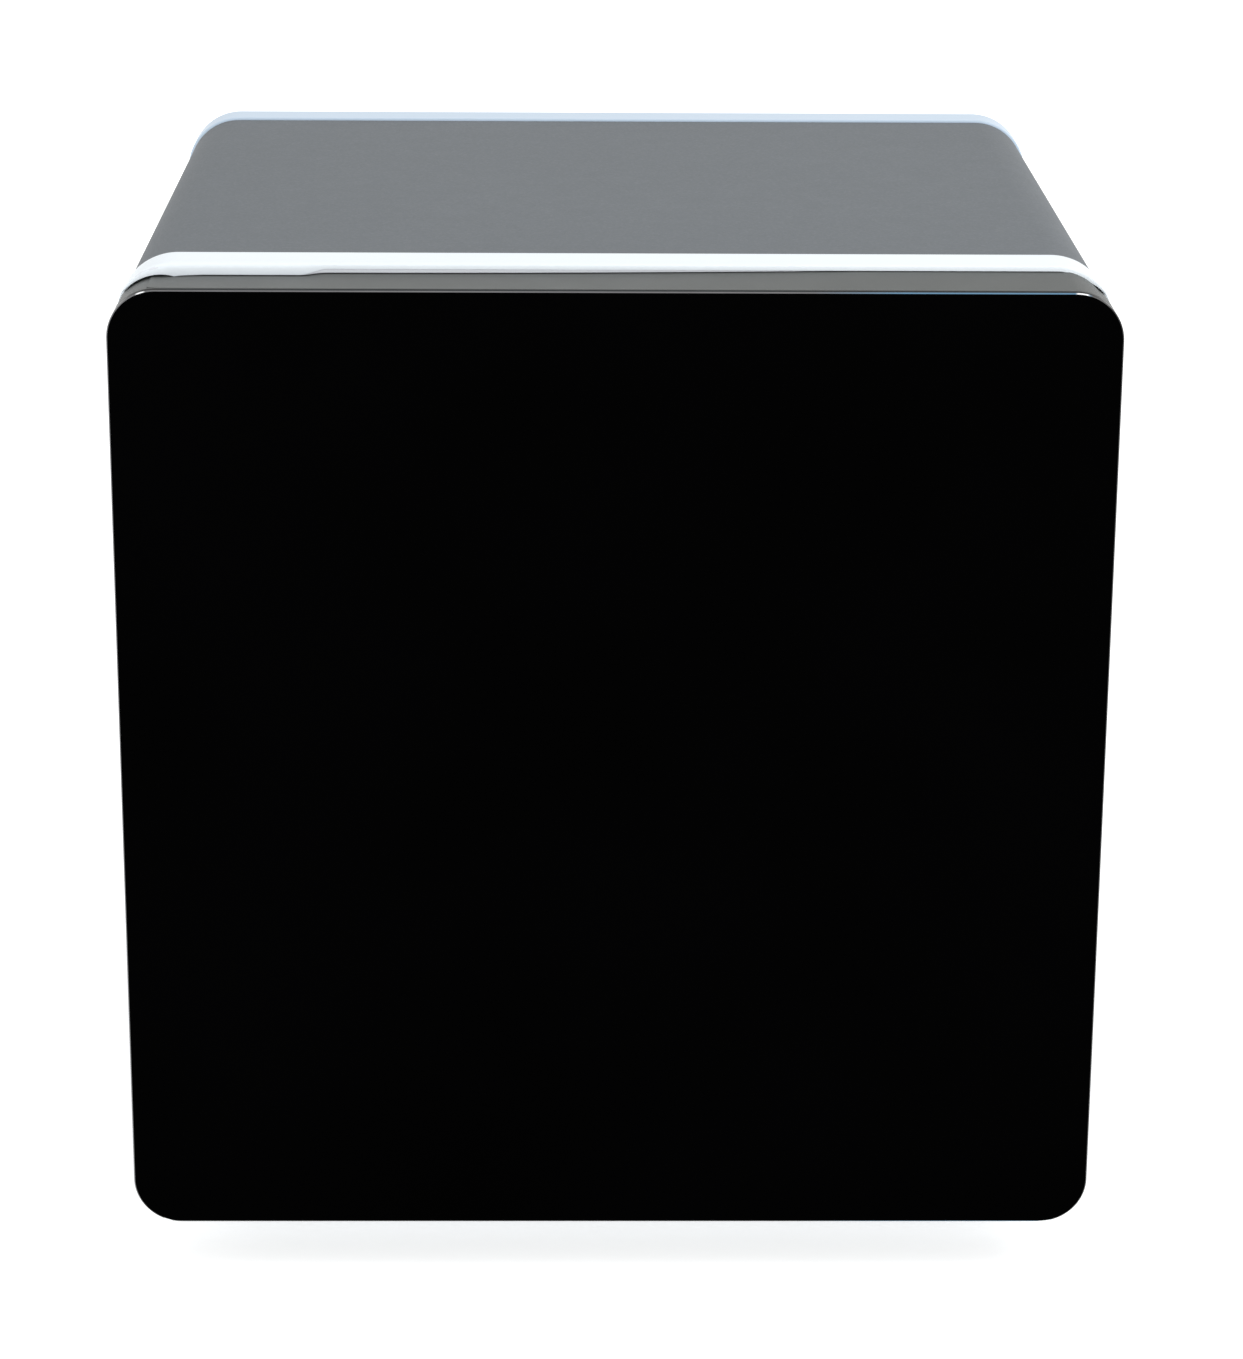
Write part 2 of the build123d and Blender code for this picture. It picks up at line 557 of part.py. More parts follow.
PANEL_RECESS = 5.5
PANEL_SHEET = 1.2
PANEL_INSET = 4.2
PANEL_BACK = BACK - PANEL_RECESS
LEDGE_INSET = 15.0
LEDGE = 3.0
PANEL_SCREW_X = WIDTH / 2 - 10.5
PANEL_SCREW_Z = RING_HEIGHT / 2 - 10.5
PANEL_SCREW_LENGTH = 10.0
PANEL_SCREWS = [
    (x * PANEL_SCREW_X, z * PANEL_SCREW_Z * spread)
    for x in (1, -1)
    for z, spread in ((1, 0.86), (0, 0), (-1, 0.86))
] + [(x * 120.0, z * PANEL_SCREW_Z) for x in (1, -1) for z in (1, -1)]

with BuildPart() as rear_ring:
    with BuildSketch(upright(BACK)):
        body_outline()
    extrude(amount=BACK - REAR_RING_FRONT)
    fillet(rear_ring.edges().filter_by(lambda edge: on_outline(edge, BACK)), RING_EDGE)
    fillet(rear_ring.edges().filter_by(lambda edge: on_outline(edge, REAR_RING_FRONT)), RING_EDGE / 2)
    with BuildSketch(upright(BACK)):
        body_outline(PANEL_INSET - CLEARANCE)
    extrude(amount=PANEL_RECESS + PANEL_SHEET, mode=Mode.SUBTRACT)
    with BuildSketch(upright(BACK - PANEL_RECESS - PANEL_SHEET - LEDGE)):
        body_outline(PANEL_INSET)
    extrude(amount=BACK - PANEL_RECESS - PANEL_SHEET - LEDGE - REAR_RING_FRONT, mode=Mode.SUBTRACT)
    with BuildSketch(upright(BACK)):
        body_outline(LEDGE_INSET)
    extrude(amount=BACK - REAR_RING_FRONT, mode=Mode.SUBTRACT)
    with BuildSketch(upright(REAR_RING_FRONT)):
        body_outline(SPIGOT_INSET)
        body_outline(SPIGOT_INSIDE_INSET, mode=Mode.SUBTRACT)
    extrude(amount=SPIGOT)
    screw_holes(rearward(PANEL_BACK), PANEL_SCREWS, PANEL_SCREW_LENGTH + 2.0)
save(rear_ring, "rear_ring")

# ================================================================ INSULATED BODY
DUCT_WIDTH = 196.0
DUCT_HEIGHT = 118.0
DUCT_SCREW_X = DUCT_WIDTH / 2 - 9.0
DUCT_SCREW_Z = DUCT_HEIGHT / 2 - 9.0
DUCT_SCREWS = [(x * DUCT_SCREW_X, z * DUCT_SCREW_Z) for x in (1, -1) for z in (1, -1)]
DUCT_SCREW_BITE = 16.0       # how far the duct screws go behind the liner's face
SINK_SCREW_REACH = 37.0
SPACER_SIZE = 50.0
LINER_WINDOW = 84.0
FOOT_INSERT_RADIUS = 9.0
FOOT_INSERT_TOP = 46.0
FOOT_PLACES = [(-FOOT_X, FRONT_FOOT_Y), (FOOT_X, FRONT_FOOT_Y)]
BACK_PLATE = 1.0
HOT_SIDE = FOAM_BACK + BACK_PLATE
SINK_SCREWS = [(x * SINK_SCREW_REACH, z * SINK_SCREW_REACH) for x in (1, -1) for z in (1, -1)]


with BuildPart() as inner_liner:
    outside = CAVITY_SIZE + 2 * LINER_WALL
    with BuildSketch(upright(LINER_BACK + LINER_WALL)):
        rounded_square(outside, CAVITY_RADIUS + LINER_WALL)
    extrude(amount=LINER_BACK + LINER_WALL - CABINET_FACE)
    fillet(inner_liner.faces().sort_by(Axis.Y)[-1].edges(), 10.0 + LINER_WALL)
    offset(amount=-LINER_WALL, openings=inner_liner.faces().sort_by(Axis.Y)[0])
    with BuildSketch(upright(CABINET_FACE + LINER_WALL)):
        rounded_square(LINER_FLANGE, LINER_FLANGE_RADIUS - FLANGE_GAP / 2)
        rounded_square(CAVITY_SIZE, CAVITY_RADIUS, mode=Mode.SUBTRACT)
    extrude(amount=LINER_WALL)
    # shelf rails on both side walls
    for shelf_z in SHELF_LEVELS.values():
        with BuildSketch(level(shelf_z)):
            for side in (1, -1):
                with Locations((side * (CAVITY_SIZE / 2 - 4.0), (SHELF_FRONT + SHELF_BACK) / 2)):
                    RectangleRounded(9.0, SHELF_BACK - SHELF_FRONT, 2.0)
        extrude(amount=-6.0)
    with BuildSketch(upright(LINER_BACK + LINER_WALL, COOLER_Z)):
        rounded_square(LINER_WINDOW, 6.0)
    extrude(amount=LINER_WALL, mode=Mode.SUBTRACT)
    screw_holes(upright(LINER_BACK - 1, COOLER_Z), DUCT_SCREWS, DUCT_SCREW_BITE)
save(inner_liner, "inner_liner")

with BuildPart() as cabinet_foam:
    with BuildSketch(upright(FOAM_BACK)):
        body_outline(SPIGOT_INSET)
    extrude(amount=FOAM_BACK - FRONT_RING_BACK - SPIGOT - CLEARANCE)
    with BuildSketch(upright(FRONT_RING_BACK + SPIGOT + 1)):
        body_outline(SPIGOT_INSIDE_INSET + FLANGE_GAP / 2)
    extrude(amount=FRONT_RING_BACK + SPIGOT + 1 - CABINET_FACE - RING_FACE - CLEARANCE)
    with BuildSketch(upright(FRONT_RING_BACK + CLEARANCE)):
        square_ring(RING_MOUTH + 2 * RING_INNER_WALL + FLANGE_GAP, RING_MOUTH - FLANGE_GAP,
                    MOUTH_WALL_RADIUS, LINER_FLANGE_RADIUS)
    extrude(amount=FRONT_RING_BACK - CABINET_FACE, mode=Mode.SUBTRACT)
    with BuildSketch(upright(LINER_BACK + LINER_WALL + CLEARANCE)):
        rounded_square(CAVITY_SIZE + 2 * LINER_WALL + 2 * CLEARANCE, CAVITY_RADIUS + LINER_WALL)
    extrude(amount=CAVITY_DEPTH + LINER_WALL, mode=Mode.SUBTRACT)
    with BuildSketch(upright(FOAM_BACK, COOLER_Z)):
        Rectangle(SPACER_SIZE + 1, SPACER_SIZE + 1)
    extrude(amount=REAR_FOAM + 1, mode=Mode.SUBTRACT)
    screw_holes(rearward(FOAM_BACK, COOLER_Z), SINK_SCREWS, REAR_FOAM + 1)
    screw_holes(upright(LINER_BACK, COOLER_Z), DUCT_SCREWS, DUCT_SCREW_BITE + 1)
    with BuildSketch(level(FOOT_HEIGHT)):
        with Locations(*FOOT_PLACES):
            Circle(FOOT_INSERT_RADIUS + CLEARANCE)
    extrude(amount=FOOT_INSERT_TOP + CLEARANCE - FOOT_HEIGHT, mode=Mode.SUBTRACT)
    screw_holes(upright(FRONT_RING_BACK - 12, DOOR_Z), HINGE_SCREW_PLACES, 24.0)
save(cabinet_foam, "cabinet_foam")

with BuildPart() as back_plate:
    with BuildSketch(upright(HOT_SIDE)):
        body_outline(SPIGOT_INSET + 0.3)
        with Locations((0, COOLER_Z - BODY_Z)):
            Rectangle(SPACER_SIZE + 2, SPACER_SIZE + 2, mode=Mode.SUBTRACT)
            with Locations(*SINK_SCREWS):
                Circle(SCREW_RADIUS + CLEARANCE, mode=Mode.SUBTRACT)
    extrude(amount=BACK_PLATE)
save(back_plate, "back_plate")

# ================================================================ SHELVES
SHELF_HALF = CAVITY_SIZE / 2 - 2.0
TRIM_DEPTH = 14.0
TRIM_HEIGHT = 11.0
REAR_TRIM_DEPTH = 9.0
REAR_LIP = 18.0


def shelf_glass(z):
    with BuildPart() as sheet:
        with BuildSketch(level(z + 1.0)):
            with Locations((0, (SHELF_FRONT + SHELF_BACK) / 2)):
                Rectangle(2 * SHELF_HALF - 4, SHELF_BACK - SHELF_FRONT - 8)
        extrude(amount=SHELF_GLASS)
        chamfer(sheet.edges().filter_by(Axis.Z, reverse=True), 0.4)
    return sheet


def shelf_trim(z):
    """Front strip with a rounded nose and rear strip with a raised lip, both grooved for the glass."""
    with BuildPart() as trim:
        with BuildSketch(Plane.YZ.offset(-SHELF_HALF)):
            with Locations((SHELF_FRONT + TRIM_DEPTH / 2, z + TRIM_HEIGHT / 2 - 1.4)):
                RectangleRounded(TRIM_DEPTH, TRIM_HEIGHT - 3.0, 2.5)
            with Locations((SHELF_BACK - REAR_TRIM_DEPTH / 2, z + REAR_LIP / 2)):
                RectangleRounded(REAR_TRIM_DEPTH, REAR_LIP, 2.0)
            with Locations(((SHELF_FRONT + SHELF_BACK) / 2, z + 1.0 + SHELF_GLASS / 2)):
                Rectangle(SHELF_BACK - SHELF_FRONT - 8 + FLANGE_GAP, SHELF_GLASS + 0.2, mode=Mode.SUBTRACT)
        extrude(amount=2 * SHELF_HALF)
    return trim


for shelf_name, shelf_z in SHELF_LEVELS.items():
    save(shelf_glass(shelf_z), f"{shelf_name}_shelf")
    save(shelf_trim(shelf_z), f"{shelf_name}_shelf_trim")

# ================================================================ COOLING UNIT
SPACER_FRONT = LINER_BACK - 3.0
MODULE_THICKNESS = 4.0
MODULE_SIZE = 40.0
COLD_BASE = 6.0
COLD_WIDTH = 110.0
COLD_HEIGHT = 84.0
COLD_FINS = 15
COLD_FIN_REACH = 17.0
HOT_BASE = 8.0
HOT_SIZE = 112.0
HOT_FINS = 21
HOT_FIN_REACH = 30.0
FIN = 1.6

with BuildPart() as spacer_block:
    with BuildSketch(upright(HOT_SIDE - MODULE_THICKNESS, COOLER_Z)):
        Rectangle(SPACER_SIZE, SPACER_SIZE)
    extrude(amount=HOT_SIDE - MODULE_THICKNESS - SPACER_FRONT)
    chamfer(spacer_block.edges().filter_by(Axis.Y), 2.0)
save(spacer_block, "spacer_block")

with BuildPart() as thermoelectric_module:
    plate = 0.8
    for back in (HOT_SIDE, HOT_SIDE - MODULE_THICKNESS + plate):
        with BuildSketch(upright(back, COOLER_Z)):
            Rectangle(MODULE_SIZE, MODULE_SIZE)
        extrude(amount=plate)
    with BuildSketch(upright(HOT_SIDE - plate, COOLER_Z)):
        with GridLocations(6.2, 6.2, 6, 6):
            Rectangle(3.0, 3.0)
    extrude(amount=MODULE_THICKNESS - 2 * plate)
save(thermoelectric_module, "thermoelectric_module")


def finned_sink(base_back, base, width, height, fins, reach, towards_front):
    """Extruded heat sink: a base plate with upright fins on one side."""
    with BuildPart() as sink:
        with BuildSketch(upright(base_back, COOLER_Z)):
            Rectangle(width, height)
        extrude(amount=base)
        fin_back = base_back - base if towards_front else base_back + reach
        with BuildSketch(upright(fin_back, COOLER_Z)):
            with GridLocations((width - FIN) / (fins - 1), 0, fins, 1):
                Rectangle(FIN, height)
        extrude(amount=reach)
    return sink


with BuildPart() as cold_sink:
    add(finned_sink(SPACER_FRONT, COLD_BASE, COLD_WIDTH, COLD_HEIGHT, COLD_FINS, COLD_FIN_REACH, True).part)
    screw_holes(rearward(SPACER_FRONT, COOLER_Z), SINK_SCREWS, COLD_BASE)
save(cold_sink, "cold_sink")

HEAD_ROOM = 6.0
HOT_FAN_SIZE = 92.0
HOT_FAN_DEPTH = 25.0
COLD_FAN_SIZE = 80.0
COLD_FAN_DEPTH = 15.0
HOT_BASE_BACK = HOT_SIDE + HOT_BASE
HOT_FAN_FRONT = HOT_BASE_BACK + HOT_FIN_REACH
HOT_FAN_BACK = HOT_FAN_FRONT + HOT_FAN_DEPTH
COLD_FAN_BACK = SPACER_FRONT - COLD_BASE - COLD_FIN_REACH - 3.0
FAN_SCREW_INSET = 5.0
HOT_FAN_SCREW_LENGTH = HOT_FAN_DEPTH + 12.0
hot_fan_reach = HOT_FAN_SIZE / 2 - FAN_SCREW_INSET
HOT_FAN_SCREWS = [(x * hot_fan_reach, z * hot_fan_reach) for x in (1, -1) for z in (1, -1)]

with BuildPart() as hot_sink:
    add(finned_sink(HOT_BASE_BACK, HOT_BASE, HOT_SIZE, HOT_SIZE, HOT_FINS, HOT_FIN_REACH, False).part)
    screw_holes(rearward(HOT_BASE_BACK, COOLER_Z), SINK_SCREWS, HOT_BASE)
    # room for the clamp screws' heads between the fins, and for the fan screws' tips
    screw_holes(rearward(HOT_BASE_BACK + HEAD_ROOM, COOLER_Z), SINK_SCREWS, HEAD_ROOM, SCREW_HEAD + 1)
    screw_holes(rearward(HOT_FAN_FRONT, COOLER_Z), HOT_FAN_SCREWS, 13.0)
save(hot_sink, "hot_sink")

with BuildPart() as sink_screws:
    pan_screws(rearward(HOT_BASE_BACK, COOLER_Z), SINK_SCREWS, HOT_BASE_BACK - SPACER_FRONT + 4.0)
save(sink_screws, "sink_screws")

FAN_HUB = 15.0
FAN_HUB_WALL = 1.5
FAN_SHAFT = 1.5
FAN_BEARING = 4.0
FAN_BLADES = 7
FAN_BLADE = 1.4
FAN_PITCH = 38.0
FAN_BACK_PLATE = 2.5


def fan_frame(back, size, depth):
    """Square housing with a round duct, four rear struts and a tube bearing."""
    with BuildPart() as frame:
        with BuildSketch(upright(back, COOLER_Z)):
            rounded_square(size, 4.0)
            Circle(size / 2 - 2.0, mode=Mode.SUBTRACT)
            with GridLocations(size - 2 * FAN_SCREW_INSET, size - 2 * FAN_SCREW_INSET, 2, 2):
                Circle(SCREW_RADIUS + CLEARANCE, mode=Mode.SUBTRACT)
        extrude(amount=depth)
        with BuildSketch(upright(back, COOLER_Z)):
            Circle(FAN_HUB)
            Rectangle(size - 3.0, 3.0, rotation=45)
            Rectangle(size - 3.0, 3.0, rotation=-45)
        extrude(amount=FAN_BACK_PLATE)
        with BuildSketch(upright(back, COOLER_Z)):
            Circle(FAN_BEARING)
        extrude(amount=depth - 5.0)
        with BuildSketch(upright(back - FAN_BACK_PLATE / 2, COOLER_Z)):
            Circle(FAN_SHAFT + RUNNING_GAP)
        extrude(amount=depth, mode=Mode.SUBTRACT)
    return frame


def fan_rotor(back, size, depth):
    """Hub cup on a shaft with pitched blades."""
    front = back - depth + 1.0
    cup = depth - FAN_BACK_PLATE - 2.0
    tip = size / 2 - 4.0
    chord = (cup - 1.0) / sin(radians(FAN_PITCH))
    with BuildPart() as rotor:
        with BuildSketch(upright(front + cup, COOLER_Z)):
            Circle(FAN_HUB)
        extrude(amount=cup)
        fillet(rotor.faces().sort_by(Axis.Y)[0].edges(), 0.8)
        for blade in range(FAN_BLADES):
            angle = radians(360.0 * blade / FAN_BLADES)
            outward = Vector(cos(angle), 0, sin(angle))
            root = Vector(0, front + cup / 2, COOLER_Z) + outward * (FAN_HUB - 1.0)
            with BuildSketch(Plane(origin=root, x_dir=(0, 1, 0), z_dir=outward)):
                Rectangle(min(chord, 17.0), FAN_BLADE, rotation=90 - FAN_PITCH)
            extrude(amount=tip - FAN_HUB + 1.0)
        with BuildSketch(upright(front + cup, COOLER_Z)):
            Circle(FAN_HUB - FAN_HUB_WALL)
        extrude(amount=cup - FAN_HUB_WALL, mode=Mode.SUBTRACT)
        with BuildSketch(upright(front + cup, COOLER_Z)):
            Circle(FAN_SHAFT)
        extrude(amount=cup - FAN_HUB_WALL)
    return rotor


save(fan_frame(COLD_FAN_BACK, COLD_FAN_SIZE, COLD_FAN_DEPTH), "cold_fan_frame")
save(fan_rotor(COLD_FAN_BACK, COLD_FAN_SIZE, COLD_FAN_DEPTH), "cold_fan_rotor")
save(fan_frame(HOT_FAN_BACK, HOT_FAN_SIZE, HOT_FAN_DEPTH), "hot_fan_frame")
save(fan_rotor(HOT_FAN_BACK, HOT_FAN_SIZE, HOT_FAN_DEPTH), "hot_fan_rotor")

with BuildPart() as hot_fan_screws:
    pan_screws(rearward(HOT_FAN_BACK, COOLER_Z), HOT_FAN_SCREWS, HOT_FAN_SCREW_LENGTH)
save(hot_fan_screws, "hot_fan_screws")

DUCT_WALL = 2.5
DUCT_POST = 4.5
DUCT_RADIUS = 14.0
OUTLET_WIDTH = 26.0
DUCT_FRONT = COLD_FAN_BACK - COLD_FAN_DEPTH - DUCT_WALL - 0.5
SLOT = 4.0

with BuildPart() as duct_cover:
    with BuildSketch(upright(LINER_BACK - CLEARANCE, COOLER_Z)):
        RectangleRounded(DUCT_WIDTH, DUCT_HEIGHT, DUCT_RADIUS)
    extrude(amount=LINER_BACK - CLEARANCE - DUCT_FRONT)
    fillet(duct_cover.faces().sort_by(Axis.Y)[0].edges(), 5.0)
    with BuildSketch(upright(LINER_BACK - CLEARANCE, COOLER_Z)):
        RectangleRounded(DUCT_WIDTH - 2 * DUCT_WALL, DUCT_HEIGHT - 2 * DUCT_WALL, DUCT_RADIUS - DUCT_WALL)
    extrude(amount=LINER_BACK - CLEARANCE - DUCT_FRONT - DUCT_WALL, mode=Mode.SUBTRACT)
    # air intake in front of the fan
    with BuildSketch(upright(DUCT_FRONT + DUCT_WALL, COOLER_Z)):
        Circle(COLD_FAN_SIZE / 2 - 4.0)
        with GridLocations(0, 2 * SLOT, 1, 11):
            Rectangle(COLD_FAN_SIZE, SLOT, mode=Mode.SUBTRACT)
        Rectangle(3.0, COLD_FAN_SIZE, mode=Mode.SUBTRACT)
    extrude(amount=DUCT_WALL, mode=Mode.SUBTRACT)
    # air outlets at both ends
    with BuildSketch(Plane.YZ.offset(-DUCT_WIDTH)):
        with Locations(((DUCT_FRONT + LINER_BACK) / 2 + 3.0, COOLER_Z)):
            with GridLocations(0, 2.5 * SLOT, 1, 8):
                Rectangle(OUTLET_WIDTH, SLOT)
    extrude(amount=2 * DUCT_WIDTH, mode=Mode.SUBTRACT)
    # screw posts
    with Locations(upright(LINER_BACK - CLEARANCE, COOLER_Z)):
        with Locations(*DUCT_SCREWS):
            Cylinder(DUCT_POST, LINER_BACK - CLEARANCE - DUCT_FRONT - 1, align=AHEAD)
    screw_holes(upright(DUCT_FRONT - 1, COOLER_Z), DUCT_SCREWS, 60.0)
save(duct_cover, "duct_cover")

DUCT_SCREW_LENGTH = LINER_BACK + DUCT_SCREW_BITE - DUCT_FRONT

with BuildPart() as duct_screws:
    pan_screws(upright(DUCT_FRONT, COOLER_Z), DUCT_SCREWS, DUCT_SCREW_LENGTH)
save(duct_screws, "duct_screws")

# ================================================================ REAR PANEL AND ELECTRICS
INLET_X = 140.0
INLET_Z = FOOT_HEIGHT + 52.0
INLET_WIDTH = 27.4
INLET_HEIGHT = 20.0
INLET_DEPTH = 22.0
INLET_FLANGE = 50.0
INLET_SCREW_REACH = 20.0
VENT_SLOT = 3.6
VENT_PITCH = 8.0


def vent_field(width, rows, columns, centre):
    """Rows of rounded slots, in columns, for the rear panel."""
    with Locations(centre):
        with GridLocations(width / columns, VENT_PITCH, columns, rows):
            SlotOverall(width / columns - 6.0, VENT_SLOT, mode=Mode.SUBTRACT)


with BuildPart() as rear_panel:
    with BuildSketch(upright(PANEL_BACK)):
        body_outline(PANEL_INSET)
        vent_field(240.0, 16, 4, (0, COOLER_Z - BODY_Z))
        vent_field(300.0, 6, 5, (0, -110.0))
        with Locations((INLET_X, INLET_Z - BODY_Z)):
            Rectangle(INLET_WIDTH + 0.4, INLET_HEIGHT + 0.4, mode=Mode.SUBTRACT)
            with GridLocations(2 * INLET_SCREW_REACH, 0, 2, 1):
                Circle(SCREW_RADIUS, mode=Mode.SUBTRACT)
        with Locations(*PANEL_SCREWS):
            Circle(SCREW_RADIUS + CLEARANCE, mode=Mode.SUBTRACT)
    extrude(amount=PANEL_SHEET)
save(rear_panel, "rear_panel")

with BuildPart() as rear_panel_screws:
    pan_screws(rearward(PANEL_BACK), PANEL_SCREWS, PANEL_SCREW_LENGTH)
save(rear_panel_screws, "rear_panel_screws")

with BuildPart() as power_inlet:
    with BuildSketch(upright(PANEL_BACK + 2.5, INLET_Z)):
        with Locations((INLET_X, 0)):
            RectangleRounded(INLET_FLANGE, INLET_HEIGHT + 3.5, 5.0)
            with GridLocations(2 * INLET_SCREW_REACH, 0, 2, 1):
                Circle(SCREW_RADIUS - 0.4, mode=Mode.SUBTRACT)
    extrude(amount=2.5)
    with BuildSketch(upright(PANEL_BACK, INLET_Z)):
        with Locations((INLET_X, 0)):
            Rectangle(INLET_WIDTH, INLET_HEIGHT)
    extrude(amount=INLET_DEPTH)
    # socket for the lead, with its two upper corners cut off, and three contacts
    with BuildSketch(upright(PANEL_BACK + 2.5, INLET_Z)):
        with Locations((INLET_X, 0)):
            socket = Rectangle(INLET_WIDTH - 4.0, INLET_HEIGHT - 4.0)
        chamfer(socket.vertices().sort_by(Axis.Y)[-2:], 4.5)
    extrude(amount=INLET_DEPTH - 3.0, mode=Mode.SUBTRACT)
    with BuildSketch(upright(PANEL_BACK - 5.0, INLET_Z)):
        with Locations((INLET_X - 7, -2.0), (INLET_X, 2.0), (INLET_X + 7, -2.0)):
            Rectangle(2.0, 4.0)
    extrude(amount=INLET_DEPTH - 6.0)
save(power_inlet, "power_inlet")

with BuildPart() as inlet_screws:
    pan_screws(rearward(PANEL_BACK + 2.5, INLET_Z),
               [(INLET_X - INLET_SCREW_REACH, 0), (INLET_X + INLET_SCREW_REACH, 0)],
               8.0, radius=1.5, head=2.8, head_height=1.4)
save(inlet_screws, "inlet_screws")

BOX_X = -110.0
BOX_Z = BODY_Z - 118.0
BOX_WIDTH = 150.0
BOX_HEIGHT = 96.0
BOX_DEPTH = 52.0
BOX_WALL = 2.0
BOARD_SHEET = 1.6
BOARD_STANDOFF = 5.0

with BuildPart() as control_box:
    with BuildSketch(upright(HOT_SIDE + BOX_DEPTH, BOX_Z)):
        with Locations((BOX_X, 0)):
            RectangleRounded(BOX_WIDTH, BOX_HEIGHT, 6.0)
    extrude(amount=BOX_DEPTH)
    with BuildSketch(upright(HOT_SIDE + BOX_DEPTH, BOX_Z)):
        with Locations((BOX_X, 0)):
            RectangleRounded(BOX_WIDTH - 2 * BOX_WALL, BOX_HEIGHT - 2 * BOX_WALL, 6.0 - BOX_WALL)
    extrude(amount=BOX_DEPTH - BOX_WALL, mode=Mode.SUBTRACT)
    # standoffs under the board
    with BuildSketch(upright(HOT_SIDE + BOX_WALL + BOARD_STANDOFF, BOX_Z)):
        with Locations((BOX_X, 0)):
            with GridLocations(BOX_WIDTH - 24, BOX_HEIGHT - 24, 2, 2):
                Circle(3.5)
    extrude(amount=BOARD_STANDOFF)
save(control_box, "control_box")

board_front = HOT_SIDE + BOX_WALL + BOARD_STANDOFF

with BuildPart() as power_board:
    with BuildSketch(upright(board_front + BOARD_SHEET, BOX_Z)):
        with Locations((BOX_X, 0)):
            Rectangle(BOX_WIDTH - 12, BOX_HEIGHT - 12)
    extrude(amount=BOARD_SHEET)
    # transformer, heat sink and connector, then the capacitors
    blocks = [
        ((-38, 14), (40, 34), 30),
        ((10, 18), (14, 44), 26),
        ((46, 18), (26, 12), 12),
        ((46, -8), (26, 12), 12),
    ]
    for (block_x, block_z), (block_width, block_height), tall in blocks:
        with BuildSketch(upright(board_front + BOARD_SHEET, BOX_Z)):
            with Locations((BOX_X + block_x, block_z)):
                RectangleRounded(block_width, block_height, 2.0)
        extrude(amount=-tall)
    with BuildSketch(upright(board_front + BOARD_SHEET, BOX_Z - 24.0)):
        with Locations((BOX_X - 26.0, 0)):
            with GridLocations(26.0, 0, 3, 1):
                Circle(8.0)
    extrude(amount=-28.0)
save(power_board, "power_board")

POD_Z = BODY_Z + 146.0
POD_Y = CABINET_FACE + 132.0
POD_LENGTH = 96.0
POD_HEIGHT = 40.0
POD_REACH = 17.0
POD_WALL = 2.0
CAVITY_SIDE = CAVITY_SIZE / 2
POD_FACE = CAVITY_SIDE - POD_REACH
LENS_Y = POD_Y - 22.0
LENS_LENGTH = 38.0
LENS_HEIGHT = 22.0
DIAL_Y = POD_Y + 25.0
DIAL_RADIUS = 13.0
DIAL_HEIGHT = 9.0
DIAL_SHAFT = 3.0
DIAL_SHAFT_REACH = 8.0


def pod_plane(x):
    """Sketch plane parallel to the cavity's right wall; extruding from it goes to the right."""
    return Plane(origin=(x, 0, POD_Z), x_dir=(0, 1, 0), z_dir=(1, 0, 0))


with BuildPart() as light_pod:
    with BuildSketch(pod_plane(POD_FACE)):
        with Locations((POD_Y, 0)):
            RectangleRounded(POD_LENGTH, POD_HEIGHT, 9.0)
    extrude(amount=POD_REACH - CLEARANCE)
    fillet(light_pod.faces().sort_by(Axis.X)[0].edges(), 3.0)
    with BuildSketch(pod_plane(POD_FACE + POD_WALL)):
        with Locations((POD_Y, 0)):
            RectangleRounded(POD_LENGTH - 2 * POD_WALL, POD_HEIGHT - 2 * POD_WALL, 9.0 - POD_WALL)
    extrude(amount=POD_REACH, mode=Mode.SUBTRACT)
    with BuildSketch(pod_plane(POD_FACE)):
        with Locations((LENS_Y, 0)):
            RectangleRounded(LENS_LENGTH, LENS_HEIGHT, 4.0)
        with Locations((DIAL_Y, 0)):
            Circle(DIAL_SHAFT + 1.0)
    extrude(amount=POD_WALL, mode=Mode.SUBTRACT)
save(light_pod, "light_pod")

with BuildPart() as lamp_lens:
    with BuildSketch(pod_plane(POD_FACE - 1.0)):
        with Locations((LENS_Y, 0)):
            RectangleRounded(LENS_LENGTH - 0.4, LENS_HEIGHT - 0.4, 3.8)
    extrude(amount=POD_WALL + 1.0)
    fillet(lamp_lens.faces().sort_by(Axis.X)[0].edges(), 0.8)
    with BuildSketch(pod_plane(POD_FACE + POD_WALL)):
        with Locations((LENS_Y, 0)):
            RectangleRounded(LENS_LENGTH + 4.0, LENS_HEIGHT + 4.0, 5.0)
    extrude(amount=1.2)
save(lamp_lens, "lamp_lens")

with BuildPart() as lamp_board:
    with BuildSketch(pod_plane(POD_FACE + 9.0)):
        with Locations((LENS_Y, 0)):
            Rectangle(LENS_LENGTH, LENS_HEIGHT)
    extrude(amount=BOARD_SHEET)
    with BuildSketch(pod_plane(POD_FACE + 9.0)):
        with Locations((LENS_Y, 0)):
            with GridLocations(9.0, 0, 4, 1):
                Rectangle(3.5, 3.5)
    extrude(amount=-1.2)
save(lamp_board, "lamp_board")

with BuildPart() as thermostat_switch:
    with BuildSketch(pod_plane(POD_FACE + POD_WALL)):
        with Locations((DIAL_Y, 0)):
            RectangleRounded(20.0, 20.0, 3.0)
    extrude(amount=9.0)
    with BuildSketch(pod_plane(POD_FACE + POD_WALL)):
        with Locations((DIAL_Y, 0)):
            Circle(DIAL_SHAFT)
    extrude(amount=-(POD_WALL + DIAL_SHAFT_REACH))
save(thermostat_switch, "thermostat_switch")

